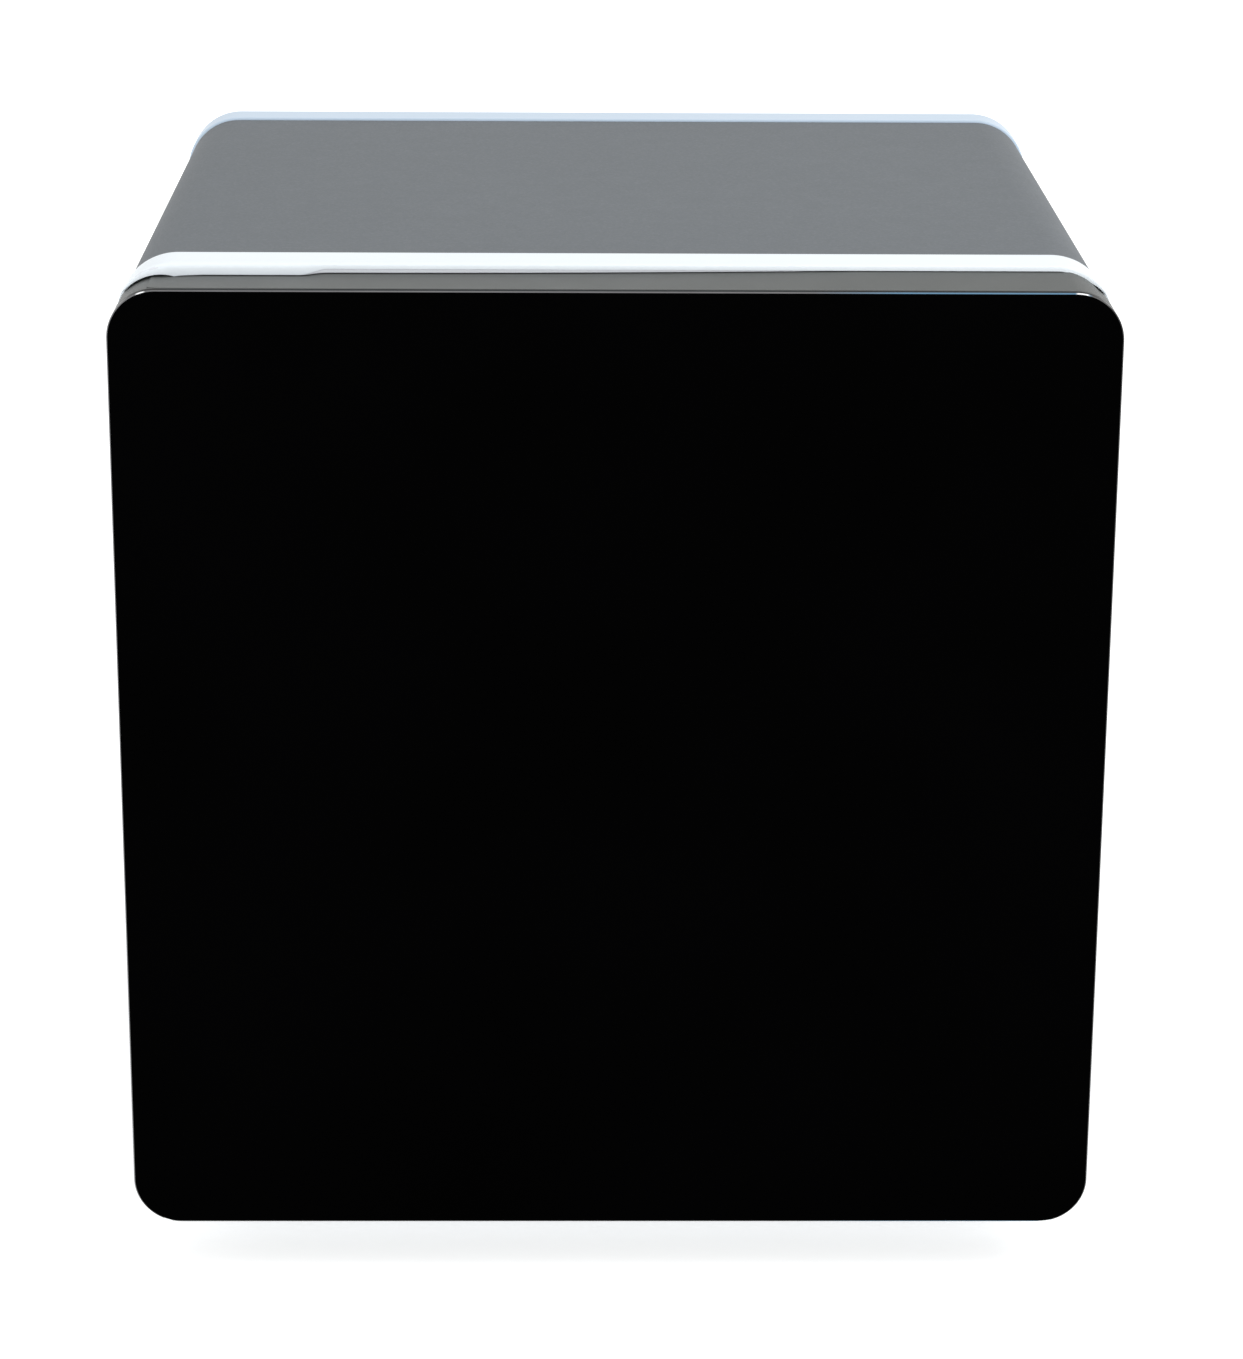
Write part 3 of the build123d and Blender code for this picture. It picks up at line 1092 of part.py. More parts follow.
with BuildPart() as thermostat_dial:
    with BuildSketch(pod_plane(POD_FACE - 1.0)):
        with Locations((DIAL_Y, 0)):
            Circle(DIAL_RADIUS)
    extrude(amount=-DIAL_HEIGHT, taper=6)
    fillet(thermostat_dial.faces().sort_by(Axis.X)[0].edges(), 1.2)
    # grip flutes round the rim and a pointer groove on the face
    with BuildSketch(pod_plane(POD_FACE - 3.0)):
        with Locations((DIAL_Y, 0)):
            with PolarLocations(DIAL_RADIUS + 0.2, 18):
                Circle(1.0)
    extrude(amount=-DIAL_HEIGHT, mode=Mode.SUBTRACT)
    with BuildSketch(pod_plane(POD_FACE - DIAL_HEIGHT)):
        with Locations((DIAL_Y, 7.0)):
            Rectangle(1.4, 6.0)
    extrude(amount=-3.0, mode=Mode.SUBTRACT)
    with BuildSketch(pod_plane(POD_FACE)):
        with Locations((DIAL_Y, 0)):
            Circle(DIAL_SHAFT + RUNNING_GAP)
    extrude(amount=-(DIAL_SHAFT_REACH + 0.5), mode=Mode.SUBTRACT)
save(thermostat_dial, "thermostat_dial")

# ================================================================ FEET
WRAPPER_BOTTOM = FOOT_HEIGHT + WRAPPER_INSET
STUD_RADIUS = 4.0
PAD_RADIUS = 15.0
PAD_HEIGHT = 9.0
STUD_TOP = 42.0


def front_foot(x):
    """Levelling foot: a pad, a nut collar to turn it by, and a stud in the cabinet's insert."""
    with BuildPart() as foot:
        with BuildSketch(level(0)):
            with Locations((x, FRONT_FOOT_Y)):
                Circle(PAD_RADIUS)
        extrude(amount=PAD_HEIGHT)
        chamfer(foot.faces().sort_by(Axis.Z)[-1].edges(), 3.0)
        fillet(foot.faces().sort_by(Axis.Z)[0].edges(), 1.0)
        with BuildSketch(level(PAD_HEIGHT)):
            with Locations((x, FRONT_FOOT_Y)):
                RegularPolygon(8.0, 6)
        extrude(amount=5.0)
        with BuildSketch(level(PAD_HEIGHT)):
            with Locations((x, FRONT_FOOT_Y)):
                Circle(STUD_RADIUS)
        extrude(amount=STUD_TOP - PAD_HEIGHT)
    return foot


save(front_foot(-FOOT_X), "front_foot_left")
save(front_foot(FOOT_X), "front_foot_right")

with BuildPart() as foot_inserts:
    with BuildSketch(level(WRAPPER_BOTTOM + WRAPPER_SHEET + 0.1)):
        with Locations(*FOOT_PLACES):
            Circle(FOOT_INSERT_RADIUS)
            Circle(STUD_RADIUS + RUNNING_GAP, mode=Mode.SUBTRACT)
    extrude(amount=FOOT_INSERT_TOP - WRAPPER_BOTTOM - WRAPPER_SHEET - 0.1)
save(foot_inserts, "foot_inserts")

REAR_FOOT_PLACES = [(-FOOT_X, REAR_FOOT_Y), (FOOT_X, REAR_FOOT_Y)]
REAR_FOOT_RADIUS = 14.0
FOOT_SCREW_RECESS = 12.0

with BuildPart() as rear_feet:
    with BuildSketch(level(WRAPPER_BOTTOM)):
        with Locations(*REAR_FOOT_PLACES):
            Circle(REAR_FOOT_RADIUS)
    extrude(amount=-WRAPPER_BOTTOM, taper=4)
    with BuildSketch(level(0)):
        with Locations(*REAR_FOOT_PLACES):
            Circle(SCREW_HEAD + 1.0)
    extrude(amount=FOOT_SCREW_RECESS, mode=Mode.SUBTRACT)
    with BuildSketch(level(0)):
        with Locations(*REAR_FOOT_PLACES):
            Circle(SCREW_RADIUS + RUNNING_GAP)
    extrude(amount=WRAPPER_BOTTOM, mode=Mode.SUBTRACT)
save(rear_feet, "rear_feet")

with BuildPart() as rear_foot_screws:
    with Locations(*[(x, y, FOOT_SCREW_RECESS) for x, y in REAR_FOOT_PLACES]):
        Cylinder(SCREW_HEAD, 2.0, align=(Align.CENTER, Align.CENTER, Align.MAX))
        Cylinder(SCREW_RADIUS, 18.0, align=(Align.CENTER, Align.CENTER, Align.MIN))
save(rear_foot_screws, "rear_foot_screws")
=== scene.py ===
import bpy
import bmesh
import json
from math import cos, pi, radians, sin, sqrt
from mathutils import Matrix, Vector


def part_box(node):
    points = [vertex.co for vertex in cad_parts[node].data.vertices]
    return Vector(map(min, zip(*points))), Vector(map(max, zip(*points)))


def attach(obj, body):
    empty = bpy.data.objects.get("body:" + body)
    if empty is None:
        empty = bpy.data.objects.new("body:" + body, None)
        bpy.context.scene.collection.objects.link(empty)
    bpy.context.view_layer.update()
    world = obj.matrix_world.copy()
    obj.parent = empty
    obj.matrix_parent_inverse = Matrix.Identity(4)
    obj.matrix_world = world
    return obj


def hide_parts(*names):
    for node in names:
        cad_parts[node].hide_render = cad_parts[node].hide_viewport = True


# The looks of a counter-top cube fridge: a black glass door in a grey rim, white end rings,
# a grey powder-coated wrapper, and a lined cavity with shelves, racks and a cooler behind it.
# Metres throughout; millimetre values carry MM. The frame gives every place.
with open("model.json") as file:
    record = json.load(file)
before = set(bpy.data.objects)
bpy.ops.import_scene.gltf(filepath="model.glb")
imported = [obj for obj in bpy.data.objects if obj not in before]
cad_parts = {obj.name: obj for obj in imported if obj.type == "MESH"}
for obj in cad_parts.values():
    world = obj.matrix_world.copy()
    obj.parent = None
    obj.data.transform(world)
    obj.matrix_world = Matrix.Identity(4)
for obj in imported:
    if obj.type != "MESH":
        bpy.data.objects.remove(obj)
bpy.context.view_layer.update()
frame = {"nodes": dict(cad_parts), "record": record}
NODES = frame["nodes"]
MM = 0.001


def low(node):
    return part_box(node)[0]


def high(node):
    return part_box(node)[1]


# ================================================================ CAMERA
CAMERA_AHEAD = 1.7026        # in front of the door glass
CAMERA_ABOVE = 0.8086        # above the lower edge of the glass
CAMERA_ASIDE = -0.0226
CAMERA_YAW = radians(0.871)
CAMERA_PITCH = radians(17.721)
CAMERA_ROLL = radians(0.374)
FRAME_HEIGHT_PIXELS = 1359
FOCAL_PIXELS = 4021.0
SENSOR_MM = 36.0


def add_camera():
    """Camera at the photograph's viewing angle."""
    data = bpy.data.cameras.new("camera")
    data.sensor_width = SENSOR_MM
    data.lens = FOCAL_PIXELS * SENSOR_MM / FRAME_HEIGHT_PIXELS
    data.clip_start = 0.05
    data.clip_end = 60.0
    camera = bpy.data.objects.new("camera", data)
    bpy.context.scene.collection.objects.link(camera)
    level = cos(CAMERA_PITCH)
    ahead = Vector((sin(CAMERA_YAW) * level, cos(CAMERA_YAW) * level, -sin(CAMERA_PITCH)))
    level_right = Vector((cos(CAMERA_YAW), -sin(CAMERA_YAW), 0.0))
    level_up = level_right.cross(ahead)
    right = cos(CAMERA_ROLL) * level_right + sin(CAMERA_ROLL) * level_up
    up = cos(CAMERA_ROLL) * level_up - sin(CAMERA_ROLL) * level_right
    place = Vector((CAMERA_ASIDE, low("door_glass").y - CAMERA_AHEAD, low("door_glass").z + CAMERA_ABOVE))
    turn = Matrix((right, up, -ahead)).transposed().to_4x4()
    camera.matrix_world = Matrix.Translation(place) @ turn
    bpy.context.scene.camera = camera


# ================================================================ STAGE AND LIGHT
WORLD_STRENGTH = 0.90
FLOOR_SIZE = 60.0


def add_world():
    world = bpy.data.worlds.new("studio")
    world.use_nodes = True
    background = world.node_tree.nodes["Background"]
    background.inputs["Color"].default_value = (1.0, 1.0, 1.0, 1.0)
    background.inputs["Strength"].default_value = WORLD_STRENGTH
    bpy.context.scene.world = world


def add_area_light(name, place, aim, size, power):
    data = bpy.data.lights.new(name, "AREA")
    data.shape = "RECTANGLE"
    data.size, data.size_y = size
    data.energy = power
    light = bpy.data.objects.new(name, data)
    bpy.context.scene.collection.objects.link(light)
    direction = Vector(aim) - Vector(place)
    light.matrix_world = Matrix.Translation(place) @ direction.to_track_quat("-Z", "Y").to_matrix().to_4x4()


def add_floor():
    """A pale floor that is bright enough to run into the white background."""
    half = FLOOR_SIZE / 2
    mesh = bpy.data.meshes.new("floor")
    corners = [(-half, -half, 0), (half, -half, 0), (half, half, 0), (-half, half, 0)]
    mesh.from_pydata(corners, [], [(0, 1, 2, 3)])
    floor = bpy.data.objects.new("floor", mesh)
    bpy.context.scene.collection.objects.link(floor)
    material, tree, shader = new_material("floor_white")
    shader.inputs["Base Color"].default_value = (0.75, 0.75, 0.75, 1.0)
    shader.inputs["Roughness"].default_value = 0.9
    shader.inputs["Specular IOR Level"].default_value = 0.1
    shader.inputs["Emission Color"].default_value = (1.0, 1.0, 1.0, 1.0)
    shader.inputs["Emission Strength"].default_value = 0.62
    mesh.materials.append(material)


# ================================================================ MATERIAL NODES
def new_material(name):
    material = bpy.data.materials.new(name)
    material.use_nodes = True
    return material, material.node_tree, material.node_tree.nodes["Principled BSDF"]


def add_node(tree, kind, **values):
    """A node with its settings, and its inputs set by name."""
    node = tree.nodes.new(kind)
    for name, value in values.items():
        if hasattr(node, name):
            setattr(node, name, value)
        else:
            node.inputs[name.replace("_", " ").title()].default_value = value
    return node


def object_point(tree):
    """Texture coordinates in metres, in the frame that every piece shares."""
    return add_node(tree, "ShaderNodeTexCoord").outputs["Object"]


def noise(tree, per_metre, detail=2.0, stretch=(1.0, 1.0, 1.0)):
    """Noise from 0 to 1 with about that many features to the metre."""
    mapping = add_node(tree, "ShaderNodeMapping")
    mapping.inputs["Scale"].default_value = stretch
    tree.links.new(object_point(tree), mapping.inputs["Vector"])
    texture = add_node(tree, "ShaderNodeTexNoise")
    texture.inputs["Scale"].default_value = per_metre
    texture.inputs["Detail"].default_value = detail
    tree.links.new(mapping.outputs["Vector"], texture.inputs["Vector"])
    return texture.outputs["Fac"]


def ranged(tree, value, to_low, to_high, from_low=0.3, from_high=0.7):
    """The value moved from one range to another, and kept inside it."""
    node = add_node(tree, "ShaderNodeMapRange")
    node.clamp = True
    tree.links.new(value, node.inputs["Value"])
    node.inputs["From Min"].default_value = from_low
    node.inputs["From Max"].default_value = from_high
    node.inputs["To Min"].default_value = to_low
    node.inputs["To Max"].default_value = to_high
    return node.outputs["Result"]


def mixed(tree, share, one, two):
    """Colour between one and two; either may be a colour or another node's output."""
    node = add_node(tree, "ShaderNodeMix")
    node.data_type = "RGBA"
    tree.links.new(share, node.inputs["Factor"])
    for socket, value in ((node.inputs[6], one), (node.inputs[7], two)):
        if isinstance(value, tuple):
            socket.default_value = (*value, 1.0)
        else:
            tree.links.new(value, socket)
    return node.outputs[2]


def scaled(colour, share):
    return tuple(min(channel * share, 1.0) for channel in colour)


def roughened(tree, shader, heights):
    """Bump from several heights, each given as (value, depth in metres)."""
    last = None
    for height, depth in heights:
        node = add_node(tree, "ShaderNodeBump")
        node.inputs["Distance"].default_value = depth
        tree.links.new(height, node.inputs["Height"])
        if last is not None:
            tree.links.new(last, node.inputs["Normal"])
        last = node.outputs["Normal"]
    tree.links.new(last, shader.inputs["Normal"])


def along(tree, axis, start, end):
    """0 at start, 1 at end, along an axis of the frame."""
    split = add_node(tree, "ShaderNodeSeparateXYZ")
    tree.links.new(object_point(tree), split.inputs["Vector"])
    return ranged(tree, split.outputs[axis], 0.0, 1.0, start, end)


# ================================================================ MATERIALS
def coated(name, colour, rough, mottle=0.05, grain=900.0, grain_depth=0.02, waves=14.0, gloss=0.5,
           speckle=0.0):
    """A painted, moulded or cast surface: large soft mottling, fine grain, and uneven gloss."""
    material, tree, shader = new_material(name)
    soft = ranged(tree, noise(tree, waves, 3.0), 0.0, 1.0)
    tone = mixed(tree, soft, scaled(colour, 1.0 - mottle), scaled(colour, 1.0 + mottle))
    fine = noise(tree, grain, 2.0)
    if speckle:
        dark = ranged(tree, fine, 0.0, 1.0, 0.35, 0.65)
        tone = mixed(tree, dark, scaled(colour, 1.0 - speckle), tone)
    tree.links.new(tone, shader.inputs["Base Color"])
    uneven = noise(tree, waves * 6)
    tree.links.new(ranged(tree, uneven, rough * 0.94, rough * 1.06), shader.inputs["Roughness"])
    shader.inputs["Specular IOR Level"].default_value = gloss
    roughened(tree, shader, [(fine, grain_depth * MM)])
    return material


def powder_coat():
    """Grey powder coat on sheet steel: a fine orange-peel grain with pale and dark specks."""
    colour = (0.133, 0.148, 0.162)
    material, tree, shader = new_material("powder_coat")
    broad = ranged(tree, noise(tree, 5.0, 3.0), 0.0, 1.0)
    tone = mixed(tree, broad, scaled(colour, 0.965), scaled(colour, 1.035))
    cloud = ranged(tree, noise(tree, 60.0, 4.0), 0.0, 1.0)
    tone = mixed(tree, cloud, scaled(colour, 0.95), tone)
    specks = noise(tree, 750.0, 3.0)
    pale = ranged(tree, specks, 0.0, 0.22, 0.56, 0.72)
    tone = mixed(tree, pale, tone, scaled(colour, 1.6))
    dark = ranged(tree, noise(tree, 620.0, 3.0), 0.0, 0.28, 0.56, 0.72)
    tone = mixed(tree, dark, tone, scaled(colour, 0.6))
    tree.links.new(tone, shader.inputs["Base Color"])
    tree.links.new(ranged(tree, specks, 0.5, 0.66), shader.inputs["Roughness"])
    shader.inputs["Specular IOR Level"].default_value = 0.28
    roughened(tree, shader, [(noise(tree, 1100.0, 2.0), 0.035 * MM), (noise(tree, 330.0, 2.0), 0.03 * MM)])
    return material


def black_glass():
    """The face of the door glass: black printing under clear glass, almost free of reflections."""
    material, tree, shader = new_material("black_glass")
    smear = ranged(tree, noise(tree, 9.0, 4.0), 0.0, 1.0)
    tone = mixed(tree, smear, (0.0001, 0.0001, 0.0001), (0.0003, 0.0003, 0.0004))
    tree.links.new(tone, shader.inputs["Base Color"])
    tree.links.new(ranged(tree, noise(tree, 22.0, 3.0), 0.02, 0.06), shader.inputs["Roughness"])
    shader.inputs["Specular IOR Level"].default_value = 0.006
    return material


def window(tree, axis, start, end, soft=0.0006):
    """1 between two places along an axis, 0 outside them."""
    rising = along(tree, axis, start - soft, start + soft)
    falling = along(tree, axis, end + soft, end - soft)
    both = add_node(tree, "ShaderNodeMath", operation="MULTIPLY")
    tree.links.new(rising, both.inputs[0])
    tree.links.new(falling, both.inputs[1])
    return both.outputs[0]


BEVEL_BLUE_REFLECTION = (85.0 * MM, 125.0 * MM)           # the bevel's painted reflection turns from grey to blue between these
BEVEL_REFLECTION_END = (204.0 * MM, 206.0 * MM)          # and the painted reflection gives way to dark between these
# painted glints: a white highlight painted on the bevel near each top corner
BEVEL_PAINTED_GLINTS = ((-207.0 * MM, -203.6 * MM), (199.0 * MM, 204.2 * MM))


def bevel_painted_reflection():
    """The polished bevel, coloured with a painted reflection: grey, then blue towards the opening side, with
    a painted white glint at each top corner.
    """
    material, tree, shader = new_material("bevel_painted_reflection")
    # painted reflection: the grey and blue tones stand in for what the polished edge reflects, the white
    # windows for glints
    tone = mixed(tree, noise(tree, 40.0), (0.10, 0.10, 0.105), (0.16, 0.16, 0.165))
    tone = mixed(tree, along(tree, "X", *BEVEL_BLUE_REFLECTION), tone, (0.10, 0.22, 0.34))
    tone = mixed(tree, along(tree, "X", *BEVEL_REFLECTION_END), tone, (0.02, 0.02, 0.02))
    for start, end in BEVEL_PAINTED_GLINTS:
        tone = mixed(tree, window(tree, "X", start, end), tone, (0.95, 0.96, 0.97))
    tree.links.new(tone, shader.inputs["Base Color"])
    tree.links.new(ranged(tree, noise(tree, 300.0), 0.10, 0.18), shader.inputs["Roughness"])
    return material


def rear_white_painted_shade():
    """The rear ring's moulding: a copy of the front ring's white with painted shade, darker and a little
    bluer than the front one.
    """
    return coated("rear_white_painted_shade", (0.54, 0.66, 0.79), 0.32, 0.004, 1200.0, 0.001, 4.0)


def ring_lip_painted_shade():
    """The stepped-back lip under the visor's face: a greyer copy of the ring's white, with painted shade for
    the shade it sits in.
    """
    return coated("ring_lip_painted_shade", (0.78, 0.81, 0.86), 0.4, 0.004, 1200.0, 0.001, 4.0)


def brushed(name, colour, rough, direction, lines):
    """Metal with fine lines along one direction."""
    material, tree, shader = new_material(name)
    streaks = noise(tree, lines, 4.0, direction)
    tone = mixed(tree, ranged(tree, streaks, 0.0, 1.0), scaled(colour, 0.86), scaled(colour, 1.1))
    tree.links.new(tone, shader.inputs["Base Color"])
    tree.links.new(ranged(tree, streaks, rough * 0.8, rough * 1.3), shader.inputs["Roughness"])
    shader.inputs["Metallic"].default_value = 1.0
    roughened(tree, shader, [(streaks, 0.01 * MM)])
    return material


def spangled_steel():
    """Galvanised sheet with crystal flakes of different brightness."""
    material, tree, shader = new_material("galvanised")
    flakes = add_node(tree, "ShaderNodeTexVoronoi")
    flakes.inputs["Scale"].default_value = 110.0
    tree.links.new(object_point(tree), flakes.inputs["Vector"])
    split = add_node(tree, "ShaderNodeSeparateColor")
    tree.links.new(flakes.outputs["Color"], split.inputs["Color"])
    flake = split.outputs["Red"]
    tone = mixed(tree, flake, (0.42, 0.44, 0.45), (0.66, 0.68, 0.69))
    tree.links.new(tone, shader.inputs["Base Color"])
    tree.links.new(ranged(tree, flake, 0.32, 0.5, 0.0, 1.0), shader.inputs["Roughness"])
    shader.inputs["Metallic"].default_value = 0.9
    roughened(tree, shader, [(noise(tree, 500.0), 0.01 * MM)])
    return material


def clear_glass():
    """Toughened shelf glass with a green body and faint ripple."""
    material, tree, shader = new_material("clear_glass")
    tone = mixed(tree, noise(tree, 12.0), (0.84, 0.95, 0.91), (0.90, 0.98, 0.95))
    tree.links.new(tone, shader.inputs["Base Color"])
    tree.links.new(ranged(tree, noise(tree, 30.0), 0.01, 0.04), shader.inputs["Roughness"])
    shader.inputs["Transmission Weight"].default_value = 0.92
    shader.inputs["IOR"].default_value = 1.5
    roughened(tree, shader, [(noise(tree, 8.0), 0.02 * MM)])
    return material


def milky_plastic():
    """Clear moulded polystyrene, slightly milky."""
    material, tree, shader = new_material("milky_plastic")
    tone = mixed(tree, noise(tree, 18.0), (0.80, 0.85, 0.88), (0.88, 0.92, 0.94))
    tree.links.new(tone, shader.inputs["Base Color"])
    tree.links.new(ranged(tree, noise(tree, 60.0), 0.10, 0.2), shader.inputs["Roughness"])
    shader.inputs["Transmission Weight"].default_value = 0.6
    shader.inputs["IOR"].default_value = 1.5
    roughened(tree, shader, [(noise(tree, 240.0), 0.012 * MM)])
    return material


def circuit_board():
    """Green solder mask with tracks and pale pads."""
    material, tree, shader = new_material("circuit_board")
    grid = add_node(tree, "ShaderNodeTexBrick")
    grid.inputs["Scale"].default_value = 160.0
    grid.inputs["Mortar Size"].default_value = 0.03
    grid.inputs["Color1"].default_value = (0.016, 0.105, 0.045, 1.0)
    grid.inputs["Color2"].default_value = (0.022, 0.135, 0.06, 1.0)
    grid.inputs["Mortar"].default_value = (0.05, 0.22, 0.10, 1.0)
    swap = add_node(tree, "ShaderNodeMapping")
    swap.inputs["Rotation"].default_value = (radians(90), 0.0, 0.0)
    tree.links.new(object_point(tree), swap.inputs["Vector"])
    tree.links.new(swap.outputs["Vector"], grid.inputs["Vector"])
    tree.links.new(grid.outputs["Color"], shader.inputs["Base Color"])
    tree.links.new(ranged(tree, noise(tree, 200.0), 0.25, 0.4), shader.inputs["Roughness"])
    return material


def foam():
    """Rigid polyurethane foam: small closed cells in a straw colour."""
    material, tree, shader = new_material("foam")
    cells = add_node(tree, "ShaderNodeTexVoronoi")
    cells.inputs["Scale"].default_value = 700.0
    tree.links.new(object_point(tree), cells.inputs["Vector"])
    depth = ranged(tree, cells.outputs["Distance"], 0.0, 1.0, 0.0, 0.8)
    tone = mixed(tree, depth, (0.80, 0.68, 0.38), (0.90, 0.80, 0.52))
    tree.links.new(tone, shader.inputs["Base Color"])
    shader.inputs["Roughness"].default_value = 0.9
    roughened(tree, shader, [(cells.outputs["Distance"], 0.3 * MM)])
    return material


FINISHES = {
    "black_glass": black_glass,
    "black_adhesive": lambda: coated("black_adhesive", (0.010, 0.010, 0.011), 0.6, 0.2, 400.0, 0.02),
    "rim_grey": lambda: coated("rim_grey", (0.112, 0.118, 0.115), 0.46, 0.03, 1300.0, 0.02, 9.0, gloss=0.30),
    "foam": foam,
    "liner_white": lambda: coated("liner_white", (0.80, 0.83, 0.85), 0.30, 0.006, 500.0, 0.006, 4.0),
    "seal_grey": lambda: coated("seal_grey", (0.52, 0.55, 0.58), 0.55, 0.04, 600.0, 0.02),
    "magnet": lambda: coated("magnet", (0.045, 0.040, 0.036), 0.7, 0.15),
    "rack_clear": milky_plastic,
    "bush_nylon": lambda: coated("bush_nylon", (0.72, 0.70, 0.64), 0.45, 0.04),
    "zinc_steel": lambda: brushed("zinc_steel", (0.60, 0.60, 0.57), 0.32, (1.0, 1.0, 6.0), 500.0),
    "ring_white": lambda: coated("ring_white", (0.860, 0.925, 0.975), 0.30, 0.004, 1200.0, 0.001, 4.0),
    "strike_white": lambda: coated("strike_white", (0.60, 0.62, 0.64), 0.4, 0.01, 900.0, 0.010),
    "wrapper_grey": powder_coat,
    "galvanised": spangled_steel,
    "clear_glass": clear_glass,
    "aluminium": lambda: brushed("aluminium", (0.72, 0.73, 0.75), 0.34, (1.0, 1.0, 0.05), 900.0),
    "module_ceramic": lambda: coated("module_ceramic", (0.84, 0.83, 0.79), 0.6, 0.03, 1500.0, 0.01),
    "fan_black": lambda: coated("fan_black", (0.022, 0.022, 0.024), 0.45, 0.2, 900.0, 0.015),
    "panel_grey": lambda: coated("panel_grey", (0.125, 0.135, 0.145), 0.48, 0.05, 900.0, 0.03, speckle=0.2),
    "box_grey": lambda: coated("box_grey", (0.26, 0.27, 0.28), 0.5, 0.05, 900.0, 0.02),
    "board_green": circuit_board,
    "lens_frosted": lambda: coated("lens_frosted", (0.90, 0.90, 0.86), 0.35, 0.03, 700.0, 0.02),
    "dial_grey": lambda: coated("dial_grey", (0.34, 0.36, 0.38), 0.42, 0.05, 1200.0, 0.02),
    "foot_black": lambda: coated("foot_black", (0.030, 0.030, 0.031), 0.5, 0.15, 900.0, 0.02),
    "foot_rubber": lambda: coated("foot_rubber", (0.028, 0.028, 0.028), 0.75, 0.2, 1200.0, 0.03),
}
made = {}


def finish_of(slot):
    """The material of a slot, made once."""
    if slot not in made:
        made[slot] = FINISHES[slot]()
    return made[slot]


# ================================================================ MESH SHAPES
CORNER_STEPS = 30            # points round each rounded corner
SHARP_ANGLE = radians(35)


def stations(along_top=(), steps=CORNER_STEPS):
    """Places round a rounded rectangle seen from the front, anticlockwise from the right-hand side.

    Each is (side_x, side_z, angle, x): a point of one corner's arc, or of the top edge where x is given.
    """
    places = []
    for quarter, (side_x, side_z) in enumerate(((1, 1), (-1, 1), (-1, -1), (1, -1))):
        places += [(side_x, side_z, pi / 2 * (quarter + step / steps), None) for step in range(steps + 1)]
        if quarter == 0:
            places += [(0, 1, pi / 2, x) for x in sorted(along_top, reverse=True)]
    return places


def spot(station, half_x, half_z, radius):
    """X and height above the middle, of a station on the outline of that size."""
    side_x, side_z, angle, x = station
    if x is None:
        x = side_x * (half_x - radius) + radius * cos(angle)
    return x, side_z * (half_z - radius) + radius * sin(angle)


def rounded(points, closed=False, steps=5):
    """(inset, y, fillet) corners of a section, with each fillet turned into an arc of small steps."""
    found = []
    count = len(points)
    for i, (inset, y, fillet) in enumerate(points):
        here = Vector((inset, y))
        before = Vector(points[i - 1][:2]) - here
        after = Vector(points[(i + 1) % count][:2]) - here
        if fillet <= 0 or (not closed and i in (0, count - 1)):
            found.append(here)
            continue
        room = 0.48 * min(before.length, after.length)
        if room < 1e-9:
            found += [here] * (steps + 1)
            continue
        half_turn = before.angle(after) / 2
        reach = min(fillet / sin(half_turn) * cos(half_turn), room)
        first = here + before.normalized() * reach
        last = here + after.normalized() * reach
        centre = here + (before.normalized() + after.normalized()).normalized() * (reach / cos(half_turn))
        radius = (first - centre).length
        start = (first - centre).normalized()
        end = (last - centre).normalized()
        for step in range(steps + 1):
            found.append(centre + start.slerp(end, step / steps) * radius)
    return found


def to_piece(name, build, body, slot, materials=None, replaced=()):
    """Finishes a bmesh as a named piece that rides on a body and stands for CAD nodes."""
    bmesh.ops.remove_doubles(build, verts=build.verts, dist=1e-6)
    bmesh.ops.dissolve_degenerate(build, edges=build.edges, dist=1e-6)
    bmesh.ops.recalc_face_normals(build, faces=build.faces)
    mesh = bpy.data.meshes.new(name)
    build.to_mesh(mesh)
    build.free()
    mesh.shade_smooth()
    mesh.set_sharp_from_angle(angle=SHARP_ANGLE)
    for material in materials or [finish_of(slot)]:
        mesh.materials.append(material)
    piece = bpy.data.objects.new(name, mesh)
    bpy.context.scene.collection.objects.link(piece)
    weigh_normals(piece)
    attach(piece, body)
    if replaced:
        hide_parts(*replaced)
    return piece


def weigh_normals(piece):
    """Shades flat faces flat beside their fillets."""
    modifier = piece.modifiers.new("weighted", "WEIGHTED_NORMAL")
    modifier.keep_sharp = True
    apply_modifiers(piece)


def apply_modifiers(piece):
    graph = bpy.context.evaluated_depsgraph_get()
    mesh = bpy.data.meshes.new_from_object(piece.evaluated_get(graph))
    piece.modifiers.clear()
    old = piece.data
    piece.data = mesh
    bpy.data.meshes.remove(old)
    mesh.name = piece.name


def loft(build, rings, closed=False, capped=False):
    """Quads between rings of points that all have the same number of points."""
    rows = [[build.verts.new(point) for point in ring] for ring in rings]
    pairs = list(zip(rows, rows[1:]))
    if closed:
        pairs.append((rows[-1], rows[0]))
    for one, two in pairs:
        for i in range(len(one)):
            j = (i + 1) % len(one)
            build.faces.new((one[i], one[j], two[j], two[i]))
    if capped:
        build.faces.new(rows[0])
        build.faces.new(list(reversed(rows[-1])))
    return rows


def outline_ring(section_point, half_x, half_z, middle_z, radius_at, places):
    """One ring of points: the outline moved inwards by the section point's inset, at its depth."""
    inset, y = section_point
    ring = []
    for place in places:
        x, z = spot(place, half_x - inset, half_z - inset, radius_at(inset))
        ring.append((x, y, middle_z + z))
    return ring


def outline_of(node):
    """Half width, half height and height of the middle of a node, seen from the front."""
    near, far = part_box(node)
    return (far.x - near.x) / 2, (far.z - near.z) / 2, (far.z + near.z) / 2


def concentric(radius, least=0.5 * MM):
    """Corner radius at an inset, where the corners share their centres."""
    return lambda inset: max(radius - inset, least)


# ================================================================ DOOR GLASS
GLASS_RADIUS = 21.5 * MM
GLASS_BEVEL = 0.5 * MM


